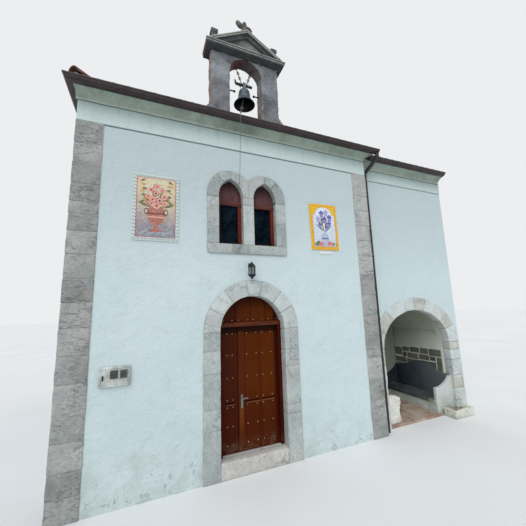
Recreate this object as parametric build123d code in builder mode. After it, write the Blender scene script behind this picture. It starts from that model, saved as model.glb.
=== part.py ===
from build123d import *
import math
import os

# A small rendered chapel with a bell gable and a side bay that holds a niche with benches.
# X runs along the front, Y runs into the building, Z is up, sizes are in millimetres.
# The origin lies on the ground, under the middle of the doorway, on the face of the front wall.

# Main block
nave_width = 5670
nave_depth = 7200
wall_thickness = 550
quoin_width = 377
quoin_projection = 10
floor_height = 250
light_sill_rise = 644
string_rise = 1830
frieze_height = 480
frieze_projection = 15
cornice_left_overhang = 30
cove_height = 135
cove_projection = 170

# Doorway and its leaves
door_half_width = 597
door_spring = 2240
door_surround_width = 274
door_surround_depth = 230
surround_projection = 20
centre_half_width = 1000
frame_front = 140
frame_depth = 95
jamb_width = 70
leaf_front = 190
leaf_thickness = 45
leaf_height = 2030
leaf_floor_gap = 12
narrow_leaf_width = 276
leaf_hinge_gap = 5
leaf_meeting_gap = 14
transom_height = 85
stile_width = 66
meeting_stile_width = 120
mullion_width = 60
narrow_leaf_stile = 54
panel_recess = 8
hinge_radius = 10
hinge_pin_radius = 6
hinge_running_gap = 0.3
hinge_knuckle = 50
hinge_foot_margin = 170

# Pair of windows
upper_axis = -50
light_offset = 331
light_half_width = 226
light_jamb_height = 895
light_rise = 330
window_ring_radius = 430
window_ring_lift = 50
window_sill_height = 175
window_corner_radius = 80
window_surround_depth = 200
window_projection = 25
window_frame_front = 90
window_frame_depth = 60
window_stile = 58
window_transom_drop = 140
window_transom_height = 70
window_board_groove = 10
glass_thickness = 8
window_wall_margin = 100
embrasure_lift = 10

# Eaves, gutters and roofs
roof_base_overhang = 45
tile_lift = 85
tile_edge = 55
ridge_roll_radius = 100
ridge_roll_drop = 25
roof_pitch = 20
roof_thickness = 110
gutter_width = 120
gutter_height = 88
gutter_sheet = 4
gutter_lift = 78
gutter_right_overhang = 270
pipe_radius = 42
pipe_wall_gap = 18
pipe_swan_neck = 165
pipe_corner_gap = 92
pipe_outlet_inset = 50
pipe_outlet_drop = 90
pipe_bend = 60
pipe_sheet = 3

# Bell gable
gable_axis = -55
gable_front = -70
gable_thickness = 275
gable_half_width = 703
gable_plinth_spread = 100
gable_plinth_rise = 275
gable_flare_height = 120
bell_sill_rise = 215
bell_arch_half_width = 324
bell_arch_jamb_height = 941
bell_arch_cover = 25
gable_cornice_front = 140
gable_cornice_side = 107
gable_cornice_height = 85
gable_fillet = 14
pediment_rise = 470
rake_height = 78
tympanum_recess = 95
tympanum_step = 70
corner_block_width = 130
corner_block_depth = 150
corner_block_height = 395
corner_block_inset = 175
finial_stem_radius = 55
finial_stem_height = 290
finial_lobe_radius = 66
finial_lobe_reach = 115
finial_top_reach = 62

# Bell
bell_mouth_radius = 212
bell_height = 330
bell_shoulder_radius = 108
bell_wall = 16
bell_drop = 131
bell_crown_drop = 112
bell_turn = -8
crown_width = 60
crown_gap = 0.3
hanger_length = 340
hanger_radius = 26
strap_radius = 9
strap_lean = 18
strap_spacing = 45
stub_length = 118
stub_radius = 13
stub_knob_radius = 24
stub_drop = 190
clapper_pivot_drop = 62
clapper_pin_radius = 8
clapper_eye_gap = 0.4
clapper_ball_radius = 33
clapper_rod_radius = 10
clapper_ball_reach = 356
clapper_reach = 467
clapper_lean = 9.4
rope_radius = 4
rope_tie_gap = 0.3
rope_bend = 22
rope_clearance = 8
rope_lip_x = -267
rope_entry_x = -236
rope_entry_rise = 135

# Side bay with the niche
bay_setback = 190
bay_front_thickness = 300
bay_wall_thickness = 450
bay_drop = 52
bay_cove_height = 148
niche_gap = 5
niche_offset = -25
niche_end_wall = 50
niche_half_width = 1070
niche_rise = 820
niche_spring = 1640
niche_depth = 1690
niche_floor_height = 50
niche_vault_thickness = 440
niche_ring_width = 315
niche_ring_head = 286
niche_ring_depth = 160
niche_ring_projection = 12
bench_seat_height = 320
bench_slab = 60
bench_back_end = 850
bench_back_peak = 1060
bench_arm_tip = 610
bench_panel = 60
bench_depth = 600
bench_nosing = 20
bench_front_advance = 250
bench_arm_radius = 700
left_bench_depth = 370
left_bench_height = 610
left_bench_low_height = 420
left_bench_break = 170
kerb_length = 660
kerb_end_gap = 160
kerb_projection = 300
kerb_height = 190

# Fittings on the front
panel_thickness = 25
left_panel_size = (705, 1107)
left_panel_x = -1645
left_panel_rise = 528
right_panel_size = (655, 967)
right_panel_x = 1612
right_panel_rise = 480
right_panel_tilt = 1.4
plate_size = (306, 70)
plate_gap = 20
plate_thickness = 12
meter_size = (402, 270)
meter_place = (-2125, 1725)
meter_corner = 12
meter_depth = 45
lantern_axis = -60
lantern_radius = 74
lantern_height = 312
lantern_cap_height = 90
lantern_spike = 30
lantern_above_arch = 2
lantern_reach = 150

half_nave = nave_width / 2
light_sill = door_spring + door_half_width + door_surround_width + light_sill_rise
string_height = light_sill + string_rise
eaves_height = string_height + frieze_height
cove_foot = eaves_height - cove_height
tile_foot = eaves_height + tile_lift
gutter_top = eaves_height + gutter_lift
bay_eaves_height = eaves_height - bay_drop
bay_cove_foot = bay_eaves_height - bay_cove_height
light_spring = light_sill + light_jamb_height
window_ring_centre = light_spring + window_ring_lift
window_foot = light_sill - window_sill_height
window_transom_foot = light_spring - window_transom_drop
window_wall_foot = window_foot - window_wall_margin
embrasure_top = light_spring + light_rise + embrasure_lift
bell_sill = eaves_height + bell_sill_rise
bell_arch_spring = bell_sill + bell_arch_jamb_height
gable_plinth_top = eaves_height + gable_plinth_rise
gable_flare_top = gable_plinth_top + gable_flare_height
gable_top = bell_arch_spring + bell_arch_half_width + bell_arch_cover
hanger_height = bell_arch_spring - bell_drop
bell_crown = hanger_height - bell_crown_drop
bell_mouth_height = bell_crown - bell_height
clapper_pivot_height = bell_crown - clapper_pivot_drop
side_face = half_nave - quoin_projection
inner_half = half_nave - quoin_projection - wall_thickness
quoin_inner = half_nave - quoin_width
back_face = nave_depth
door_outer = door_half_width + door_surround_width
leaf_half_opening = door_half_width - jamb_width
leaf_foot = floor_height + leaf_floor_gap
hinge_heights = (
    leaf_foot + hinge_foot_margin,
    leaf_foot + leaf_height / 2,
    leaf_foot + leaf_height - hinge_foot_margin,
)
transom_foot = floor_height + leaf_floor_gap + leaf_height + leaf_hinge_gap
pitch_slope = math.tan(math.radians(roof_pitch))
niche_ring_half_width = niche_half_width + niche_ring_width
niche_ring_rise = niche_rise + niche_ring_head
niche_ring_axis = half_nave + niche_gap + niche_ring_half_width
niche_axis = niche_ring_axis + niche_offset
bay_width = niche_gap + 2 * niche_ring_half_width + niche_end_wall
bay_right = half_nave + bay_width
kerb_right = niche_ring_axis + niche_ring_half_width - kerb_end_gap
kerb_left = kerb_right - kerb_length
bay_back_face = bay_setback + niche_depth + bay_wall_thickness
gutter_wall_face = -cove_projection
gable_back = gable_front + gable_thickness
gable_plinth_half_width = gable_half_width + gable_plinth_spread
rope_entry_height = light_spring + rope_entry_rise
bell_axis_y = (gable_front + gable_back) / 2
left_light = upper_axis - light_offset
right_light = upper_axis + light_offset

os.makedirs("parts", exist_ok=True)


def at_depth(y):
    """Upright plane at depth y, with its x along the front and its y up."""
    return Plane.XZ.offset(-y)


def block(x_span, y_span, z_span, mode=Mode.ADD):
    """Rectangular mass between two corners, in the part that is being built."""
    centre = tuple((a + b) / 2 for a, b in (x_span, y_span, z_span))
    size = [b - a for a, b in (x_span, y_span, z_span)]
    with Locations(centre):
        Box(*size, mode=mode)


def finish(part, name):
    """Name a finished piece and write its file."""
    part.label = name
    export_step(part, f"parts/{name}.step")


# Quoins at the four corners
with BuildPart() as quoins:
    for side in (-1, 1):
        x_span = sorted((side * half_nave, side * quoin_inner))
        block(x_span, (-quoin_projection, wall_thickness), (0, string_height))
        block(x_span, (back_face - wall_thickness, back_face), (0, eaves_height))
finish(quoins.part, "quoins")

# Floor and side walls
with BuildPart() as floor:
    block((-inner_half, inner_half), (wall_thickness, back_face - wall_thickness), (0, floor_height))
finish(floor.part, "floor")

with BuildPart() as side_walls:
    for side in (-1, 1):
        x_span = sorted((side * side_face, side * inner_half))
        block(x_span, (wall_thickness, back_face - wall_thickness), (0, eaves_height))
finish(side_walls.part, "side_walls")

with BuildPart() as back_wall:
    block((-quoin_inner, quoin_inner), (back_face - wall_thickness, back_face), (0, eaves_height))
finish(back_wall.part, "back_wall")

# Front wall beside the doorway
for side_name, side in (("left", -1), ("right", 1)):
    with BuildPart() as wall_side:
        x_span = sorted((side * centre_half_width, side * quoin_inner))
        block(x_span, (0, wall_thickness), (0, string_height))
        x_span = sorted((side * door_outer, side * centre_half_width))
        block(x_span, (0, wall_thickness), (0, door_spring))
        x_span = sorted((side * door_half_width, side * door_outer))
        block(x_span, (door_surround_depth, wall_thickness), (0, door_spring))
    finish(wall_side.part, f"front_wall_{side_name}")

# Front wall over the doorway
with BuildPart() as over_door:
    block((-centre_half_width, centre_half_width), (0, wall_thickness), (door_spring, window_wall_foot))
    with BuildSketch(at_depth(0)):
        with Locations((0, door_spring)):
            Circle(door_outer)
    extrude(amount=-door_surround_depth, mode=Mode.SUBTRACT)
    with BuildSketch(at_depth(door_surround_depth)):
        with Locations((0, door_spring)):
            Circle(door_half_width)
    extrude(amount=-wall_thickness, mode=Mode.SUBTRACT)
finish(over_door.part, "front_wall_over_door")

# Dressed stone round the doorway
with BuildPart() as door_surround:
    with BuildSketch(at_depth(-surround_projection)):
        with Locations((0, door_spring)):
            Circle(door_outer)
        with Locations((0, door_spring / 2)):
            Rectangle(2 * door_outer, door_spring)
        with Locations((0, door_spring)):
            Circle(door_half_width, mode=Mode.SUBTRACT)
        with Locations((0, door_spring / 2)):
            Rectangle(2 * door_half_width, door_spring, mode=Mode.SUBTRACT)
        with Locations((0, -door_outer)):
            Rectangle(4 * door_outer, 2 * door_outer, mode=Mode.SUBTRACT)
    extrude(amount=-(door_surround_depth + surround_projection))
finish(door_surround.part, "door_surround")

with BuildPart() as threshold:
    block((-door_half_width, door_half_width), (-surround_projection, wall_thickness), (0, floor_height))
    chamfer(threshold.edges().filter_by(Axis.X).group_by(Axis.Y)[0].group_by(Axis.Z)[-1], 12)
finish(threshold.part, "door_threshold")

# Door frame with its transom and the lower halves of the hinges
hinge_y = leaf_front + leaf_thickness + hinge_radius
hinge_x = leaf_half_opening - leaf_hinge_gap / 2
with BuildPart() as door_frame:
    for side in (-1, 1):
        x_span = sorted((side * leaf_half_opening, side * door_half_width))
        block(x_span, (frame_front, frame_front + frame_depth), (floor_height, transom_foot))
    block(
        (-door_half_width, door_half_width),
        (frame_front - 12, frame_front + frame_depth),
        (transom_foot, transom_foot + transom_height),
    )
    chamfer(
        door_frame.edges()
        .filter_by(Axis.X)
        .filter_by(lambda e: e.length > 2 * leaf_half_opening)
        .group_by(Axis.Y)[0],
        8,
    )
    for side in (-1, 1):
        for z in hinge_heights:
            with Locations((side * hinge_x, hinge_y, z)):
                Cylinder(hinge_radius, hinge_knuckle, align=(Align.CENTER, Align.CENTER, Align.MAX))
                Cylinder(hinge_pin_radius, hinge_knuckle - 5, align=(Align.CENTER, Align.CENTER, Align.MIN))
            plate = sorted((side * hinge_x, side * (leaf_half_opening + 30)))
            block(plate, (frame_front + frame_depth, hinge_y), (z - hinge_knuckle, z))
    with BuildSketch(at_depth(0)):
        with Locations((0, door_spring)):
            Rectangle(4 * door_half_width, 4 * door_half_width)
            Circle(door_half_width, mode=Mode.SUBTRACT)
        with Locations((0, door_spring - 2 * door_half_width)):
            Rectangle(5 * door_half_width, 4 * door_half_width, mode=Mode.SUBTRACT)
    extrude(amount=-wall_thickness, mode=Mode.SUBTRACT)
finish(door_frame.part, "door_frame")

# Arched panel over the transom, four boards wide
tympanum_foot = transom_foot + transom_height
with BuildPart() as tympanum:
    with BuildSketch(at_depth(leaf_front - 10)):
        with Locations((0, door_spring)):
            Circle(door_half_width)
        with Locations((0, tympanum_foot - door_half_width)):
            Rectangle(3 * door_half_width, 2 * door_half_width, mode=Mode.SUBTRACT)
    extrude(amount=-leaf_thickness)
    groove_pitch = 2 * door_half_width / 4
    with BuildSketch(at_depth(leaf_front - 10)):
        with GridLocations(groove_pitch, 0, 3, 1):
            with Locations((0, door_spring + door_half_width)):
                Rectangle(14, 4 * door_half_width)
    extrude(amount=-6, mode=Mode.SUBTRACT)
finish(tympanum.part, "door_tympanum")


# Door leaves with sunk panels, hung on the upper halves of the hinges
wide_leaf_width = 2 * (leaf_half_opening - leaf_hinge_gap) - leaf_meeting_gap - narrow_leaf_width
mid_rail_foot = 738
mid_rail_height = 60
bottom_rail = 88
top_rail = 80
wide_panel = (wide_leaf_width - stile_width - meeting_stile_width - mullion_width) / 2
for leaf_name, side, width, panels in (
    ("door_leaf_left", -1, narrow_leaf_width, ((narrow_leaf_stile, narrow_leaf_width - stile_width),)),
    (
        "door_leaf_right",
        1,
        wide_leaf_width,
        (
            (meeting_stile_width, meeting_stile_width + wide_panel),
            (meeting_stile_width + wide_panel + mullion_width, wide_leaf_width - stile_width),
        ),
    ),
):
    outer_edge = side * (leaf_half_opening - leaf_hinge_gap)
    free_edge = outer_edge - side * width
    lower_span = (leaf_foot + bottom_rail, leaf_foot + mid_rail_foot)
    upper_span = (leaf_foot + mid_rail_foot + mid_rail_height, leaf_foot + leaf_height - top_rail)
    with BuildPart() as leaf:
        block(
            sorted((outer_edge, free_edge)),
            (leaf_front, leaf_front + leaf_thickness),
            (leaf_foot, leaf_foot + leaf_height),
        )
        for near, far in panels:
            for z_span in (lower_span, upper_span):
                x_span = sorted((free_edge + side * near, free_edge + side * far))
                block(x_span, (leaf_front - 5, leaf_front + panel_recess), z_span, Mode.SUBTRACT)
                back = leaf_front + leaf_thickness
                block(x_span, (back - panel_recess, back + 5), z_span, Mode.SUBTRACT)
        for z in hinge_heights:
            with Locations((side * hinge_x, hinge_y, z + 1)):
                Cylinder(hinge_radius, hinge_knuckle, align=(Align.CENTER, Align.CENTER, Align.MIN))
            strap = sorted((side * hinge_x, side * (hinge_x - 40)))
            block(strap, (leaf_front + leaf_thickness, hinge_y), (z + 1, z + 1 + hinge_knuckle))
            with Locations((side * hinge_x, hinge_y, z + 1)):
                Cylinder(
                    hinge_pin_radius + hinge_running_gap,
                    hinge_knuckle - 4,
                    align=(Align.CENTER, Align.CENTER, Align.MIN),
                    mode=Mode.SUBTRACT,
                )
    finish(leaf.part, leaf_name)

# Lever handle on its long plate, on the stile of the wide leaf
handle_x = -leaf_half_opening + leaf_hinge_gap + narrow_leaf_width + leaf_meeting_gap + meeting_stile_width / 2
handle_z = floor_height + 850
with BuildPart() as handle:
    with BuildSketch(at_depth(leaf_front)):
        with Locations((handle_x, handle_z - 55)):
            RectangleRounded(38, 225, 15)
    extrude(amount=6)
    with BuildSketch(at_depth(leaf_front - 6)):
        with Locations((handle_x, handle_z)):
            Circle(11)
    extrude(amount=42)
    with BuildSketch(at_depth(leaf_front - 40)):
        with Locations((handle_x + 42, handle_z)):
            SlotOverall(110, 20)
    extrude(amount=14)
finish(handle.part, "door_handle")

# Wall round the windows
light_radius = (light_half_width**2 + light_rise**2) / (2 * light_half_width)
light_offset_centre = light_radius - light_half_width


def window_outline():
    """Outer outline of the dressed stone round both lights, in the sketch that is being drawn."""
    with Locations((left_light, window_ring_centre), (right_light, window_ring_centre)):
        Circle(window_ring_radius)
    with Locations((upper_axis, (window_foot + window_ring_centre) / 2)):
        RectangleRounded(
            2 * (light_offset + window_ring_radius),
            window_ring_centre - window_foot,
            window_corner_radius,
        )
    with Locations((upper_axis, window_ring_centre - window_corner_radius)):
        Rectangle(2 * (light_offset + window_ring_radius), 2 * window_corner_radius)


def light_outline(side, foot, mode=Mode.ADD):
    """Pointed outline of one light, in the sketch that is being drawn."""
    axis = upper_axis + side * light_offset
    apex = light_spring + light_rise
    half_angle = math.atan2(light_rise, light_offset_centre) / 2
    arc_x = axis - light_offset_centre + light_radius * math.cos(half_angle)
    arc_z = light_spring + light_radius * math.sin(half_angle)
    with BuildLine() as edge:
        Polyline(
            (axis - light_half_width, light_spring),
            (axis - light_half_width, foot),
            (axis + light_half_width, foot),
            (axis + light_half_width, light_spring),
        )
        ThreePointArc((axis + light_half_width, light_spring), (arc_x, arc_z), (axis, apex))
        ThreePointArc((axis, apex), (2 * axis - arc_x, arc_z), (axis - light_half_width, light_spring))
    make_face(edge.edges(), mode=mode)


with BuildPart() as window_wall:
    block((-centre_half_width, centre_half_width), (0, wall_thickness), (window_wall_foot, string_height))
    with BuildSketch(at_depth(0)):
        window_outline()
    extrude(amount=-window_surround_depth, mode=Mode.SUBTRACT)
    for light_axis in (left_light, right_light):
        block(
            (light_axis - light_half_width, light_axis + light_half_width),
            (window_surround_depth, wall_thickness),
            (light_sill, embrasure_top),
            Mode.SUBTRACT,
        )
finish(window_wall.part, "front_wall_windows")

with BuildPart() as window_surround:
    with BuildSketch(at_depth(-window_projection)):
        window_outline()
        light_outline(-1, light_sill, Mode.SUBTRACT)
        light_outline(1, light_sill, Mode.SUBTRACT)
    extrude(amount=-(window_surround_depth + window_projection))
finish(window_surround.part, "window_surround")

with BuildPart() as window_frames:
    for side in (-1, 1):
        axis = upper_axis + side * light_offset
        with BuildSketch(at_depth(window_frame_front)):
            light_outline(side, light_sill)
            pane_top = window_transom_foot
            with Locations((axis, (light_sill + window_stile + pane_top) / 2)):
                Rectangle(
                    2 * (light_half_width - window_stile),
                    pane_top - light_sill - window_stile,
                    mode=Mode.SUBTRACT,
                )
        extrude(amount=-window_frame_depth)
        block(
            (axis - light_half_width + window_stile, axis + light_half_width - window_stile),
            (window_frame_front - 15, window_frame_front),
            (window_transom_foot, window_transom_foot + window_transom_height),
        )
        with BuildSketch(at_depth(window_frame_front)):
            with Locations((axis, light_spring + light_rise)):
                Rectangle(window_board_groove, 2 * light_rise)
        extrude(amount=-5, mode=Mode.SUBTRACT)
    with Locations(Location((rope_entry_x, 120, rope_entry_height), (90, 0, 0))):
        Cylinder(rope_radius + 4, 200, mode=Mode.SUBTRACT)
finish(window_frames.part, "window_frames")

with BuildPart() as window_glass:
    for side in (-1, 1):
        axis = upper_axis + side * light_offset
        pane_y = window_frame_front + window_frame_depth / 2
        block(
            (axis - light_half_width + window_stile, axis + light_half_width - window_stile),
            (pane_y, pane_y + glass_thickness),
            (light_sill + window_stile, window_transom_foot),
        )
finish(window_glass.part, "window_glass")

# Frieze and coved cornice
def cove_profile(wall, out, foot, top):
    """Section of a coved moulding on a wall at the given depth, in the sketch that is being drawn."""
    start = (wall, foot)
    middle = (wall + out * cove_projection * 0.375, top - (top - foot) * 0.3)
    end = (wall + out * cove_projection, top)
    with BuildLine() as section:
        Polyline(end, (wall, top), start)
        ThreePointArc(start, middle, end)
    make_face(section.edges())


bay_lip = bay_setback - cove_projection
front_start = -half_nave - cornice_left_overhang
cornice_path = Polyline((front_start, 0, 0), (half_nave, 0, 0), (half_nave, bay_lip, 0))
with BuildPart() as cornice:
    block((-half_nave, half_nave), (-frieze_projection, wall_thickness), (string_height, eaves_height))
    with BuildSketch(Plane.YZ.offset(front_start)):
        cove_profile(0, -1, cove_foot, eaves_height)
    sweep(path=cornice_path, transition=Transition.RIGHT)
    with BuildSketch(Plane.YZ.offset(-half_nave)):
        cove_profile(back_face, 1, cove_foot, eaves_height)
    extrude(amount=nave_width)
finish(cornice.part, "cornice")


# Roof of the main block, hipped at the left and stopped by a gable at the right
def roof_mass(x_left, x_right, y_front, y_rear, edge_height, base):
    """Everything under two slopes and a hip, down to the given base."""
    half_span = (y_rear - y_front) / 2
    ridge = edge_height + half_span * pitch_slope
    profile = Polyline(
        (y_front, base),
        (y_front, edge_height),
        (y_front + half_span, ridge),
        (y_rear, edge_height),
        (y_rear, base),
        close=True,
    )
    mass = extrude(Plane.YZ.offset(x_left) * make_face(profile), amount=x_right - x_left)
    hip = Polyline(
        (x_left, edge_height),
        (x_left + half_span, ridge),
        (x_left + half_span, ridge + 500),
        (x_left - 500, ridge + 500),
        (x_left - 500, edge_height),
        close=True,
    )
    cutter = extrude(Plane.XZ.offset(-y_front + 500) * make_face(hip), amount=-(y_rear - y_front + 1000))
    return mass - cutter


roof_front = -cove_projection
roof_rear = back_face + cove_projection
gutter_left_face = half_nave + roof_base_overhang
roof_left = -gutter_left_face
verge = half_nave + 60
edge_top = tile_foot + tile_edge
outer_mass = roof_mass(roof_left, verge, roof_front, roof_rear, edge_top, eaves_height)
under_mass = roof_mass(
    roof_left, verge, roof_front, roof_rear, edge_top - roof_thickness, eaves_height - 200
)
with BuildPart() as gable_wall:
    add(under_mass)
    block(
        (inner_half, side_face),
        (0, back_face),
        (eaves_height, eaves_height + nave_width),
        mode=Mode.INTERSECT,
    )
finish(gable_wall.part, "gable_wall")

notch_left = gable_axis - gable_plinth_half_width - 5
notch_right = gable_axis + gable_plinth_half_width + 5
room_box = Pos(0, back_face / 2, eaves_height) * Box(
    2 * inner_half, back_face - 2 * wall_thickness, 6000
)
gable_box = Pos((inner_half + verge) / 2 + 50, back_face / 2, eaves_height) * Box(
    verge - inner_half + 100, back_face, 6000
)
verge_box = Pos(half_nave + 100, back_face / 2, eaves_height) * Box(200, 3 * back_face, 6000)
roof_half_span = (roof_rear - roof_front) / 2
roll_level = edge_top - ridge_roll_drop
ridge_level = roll_level + roof_half_span * pitch_slope
hip_point = Vector(roof_left + roof_half_span, roof_front + roof_half_span, ridge_level)


def tile_roll(start, end):
    """Round roll of ridge tiles from one point to another."""
    run = Vector(*end) - Vector(*start)
    return extrude(Plane(origin=start, z_dir=run) * Circle(ridge_roll_radius), amount=run.length)


roll_plan = Pos((roof_left + verge) / 2, back_face / 2, eaves_height) * Box(
    verge - roof_left, roof_rear - roof_front, nave_width
)
ridge_rolls = tile_roll(hip_point, (verge, hip_point.Y, ridge_level))
ridge_rolls += Pos(hip_point) * Sphere(ridge_roll_radius)
ridge_rolls += tile_roll((roof_left, roof_front, roll_level), hip_point)
ridge_rolls += tile_roll((roof_left, roof_rear, roll_level), hip_point)
with BuildPart() as roof:
    add(outer_mass)
    add(ridge_rolls & roll_plan)
    add(under_mass & room_box, mode=Mode.SUBTRACT)
    add(under_mass & gable_box, mode=Mode.SUBTRACT)
    add(under_mass & verge_box, mode=Mode.SUBTRACT)
    block((notch_left, notch_right), (roof_front - 10, gable_back + 5), (0, 2 * eaves_height), Mode.SUBTRACT)
finish(roof.part, "roof")

# Gutters of the main block on the front, left and rear eaves
gutter_bottom = gutter_top - gutter_height
gutter_left_end = -gutter_left_face - gutter_width
gutter_right_end = half_nave + gutter_right_overhang
front_lip = -cove_projection - gutter_width
rear_lip = back_face + cove_projection + gutter_width
with BuildPart() as gutter:
    levels = (gutter_bottom, gutter_top)
    block((gutter_left_end, gutter_right_end), (front_lip, -cove_projection), levels)
    block((gutter_left_end, -gutter_left_face), (front_lip, rear_lip), levels)
    block((gutter_left_end, half_nave), (back_face + cove_projection, rear_lip), levels)
    trough = (gutter_bottom + gutter_sheet, gutter_top + 10)
    w = gutter_sheet
    block((gutter_left_end + w, gutter_right_end - w), (front_lip + w, -cove_projection - w), trough, Mode.SUBTRACT)
    block((gutter_left_end + w, -gutter_left_face - w), (front_lip + w, rear_lip - w), trough, Mode.SUBTRACT)
    block(
        (gutter_left_end + w, half_nave - w),
        (back_face + cove_projection + w, rear_lip - w),
        trough,
        Mode.SUBTRACT,
    )
finish(gutter.part, "gutter")

# Bell gable, its piers and arch
with BuildPart() as bell_gable:
    with BuildSketch(at_depth(gable_front)):
        with BuildLine():
            Polyline(
                (gable_axis - gable_plinth_half_width, eaves_height),
                (gable_axis - gable_plinth_half_width, gable_plinth_top),
                (gable_axis - gable_half_width, gable_flare_top),
                (gable_axis - gable_half_width, gable_top),
                (gable_axis + gable_half_width, gable_top),
                (gable_axis + gable_half_width, gable_flare_top),
                (gable_axis + gable_plinth_half_width, gable_plinth_top),
                (gable_axis + gable_plinth_half_width, eaves_height),
                close=True,
            )
        make_face()
        with Locations((gable_axis, (bell_sill + bell_arch_spring) / 2)):
            Rectangle(2 * bell_arch_half_width, bell_arch_spring - bell_sill, mode=Mode.SUBTRACT)
        with Locations((gable_axis, bell_arch_spring)):
            Circle(bell_arch_half_width, mode=Mode.SUBTRACT)
    extrude(amount=-gable_thickness)
finish(bell_gable.part, "bell_gable")

# Cornice and pediment on the bell gable
lip_front = gable_front - gable_cornice_front
lip_half = gable_half_width + gable_cornice_side
lip_top = gable_top + gable_cornice_height
apex_height = lip_top + pediment_rise
rake_slope = pediment_rise / lip_half


def rake_triangle(drop):
    """Triangle under the raking cornices, lowered by the given height, in the sketch being drawn."""
    reach = lip_half - drop / rake_slope
    with BuildLine() as triangle:
        Polyline(
            (gable_axis - reach, lip_top),
            (gable_axis, apex_height - drop),
            (gable_axis + reach, lip_top),
            close=True,
        )
    make_face(triangle.edges())


with BuildPart() as pediment:
    block(
        (gable_axis - lip_half, gable_axis + lip_half),
        (lip_front, gable_back),
        (gable_top, lip_top),
    )
    block(
        (gable_axis - lip_half - gable_fillet, gable_axis + lip_half + gable_fillet),
        (lip_front - gable_fillet, gable_back),
        (lip_top - 2 * gable_fillet, lip_top),
    )
    with BuildSketch(at_depth(lip_front)):
        rake_triangle(0)
    extrude(amount=-(gable_back - lip_front))
    with BuildSketch(at_depth(lip_front)):
        rake_triangle(rake_height)
    extrude(amount=-tympanum_recess / 2, mode=Mode.SUBTRACT)
    with BuildSketch(at_depth(lip_front)):
        rake_triangle(rake_height + tympanum_step)
    extrude(amount=-tympanum_recess, mode=Mode.SUBTRACT)
finish(pediment.part, "gable_pediment")

# Stone ornaments on the pediment
finial_y = (lip_front + gable_back) / 2
with BuildPart() as finials:
    for side in (-1, 1):
        with Locations((gable_axis + side * (lip_half - corner_block_inset), finial_y, lip_top)):
            Box(
                corner_block_width,
                corner_block_depth,
                corner_block_height,
                align=(Align.CENTER, Align.CENTER, Align.MIN),
            )
    with Locations((gable_axis, finial_y, apex_height - finial_stem_radius)):
        Cylinder(
            finial_stem_radius,
            finial_stem_height + finial_stem_radius,
            align=(Align.CENTER, Align.CENTER, Align.MIN),
        )
    lobe_height = apex_height + finial_stem_height
    with Locations(
        (gable_axis - finial_lobe_reach, finial_y, lobe_height),
        (gable_axis + finial_lobe_reach, finial_y, lobe_height),
        (gable_axis, finial_y, lobe_height + finial_top_reach),
    ):
        Sphere(finial_lobe_radius)
    with Locations(Location((gable_axis, finial_y, lobe_height), (0, 90, 0))):
        Cylinder(finial_lobe_radius / 2, 2 * finial_lobe_reach)
    with Locations((gable_axis, finial_y, lobe_height)):
        Cylinder(
            finial_lobe_radius / 2,
            finial_top_reach,
            align=(Align.CENTER, Align.CENTER, Align.MIN),
        )
    add(pediment.part, mode=Mode.SUBTRACT)
finish(finials.part, "gable_finials")

# Bar and straps that hold the bell, and the two side irons in the piers
strap_tan = math.tan(math.radians(strap_lean))
strap_top = bell_arch_spring + bell_arch_half_width - 45
strap_reach = strap_spacing + (strap_top - hanger_height) * strap_tan
strap_top = bell_arch_spring + math.sqrt(bell_arch_half_width**2 - (strap_reach + strap_radius) ** 2)
stub_height = hanger_height - stub_drop
with BuildPart() as bell_irons:
    with Locations(Location((gable_axis, bell_axis_y, hanger_height), (0, 90, bell_turn))):
        Cylinder(hanger_radius, hanger_length)
    for side in (-1, 1):
        with BuildSketch(Plane.XY.offset(hanger_height)):
            with Locations((gable_axis + side * strap_spacing, bell_axis_y)):
                Circle(strap_radius)
        with BuildSketch(Plane.XY.offset(strap_top)):
            with Locations((gable_axis + side * strap_reach, bell_axis_y)):
                Circle(strap_radius)
        loft()
        knob_x = gable_axis + side * (bell_arch_half_width - stub_length)
        with Locations(Location((knob_x, bell_axis_y, stub_height), (0, side * 90, 0))):
            Cylinder(stub_radius, stub_length, align=(Align.CENTER, Align.CENTER, Align.MIN))
            Sphere(stub_knob_radius)
finish(bell_irons.part, "bell_irons")

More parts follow.
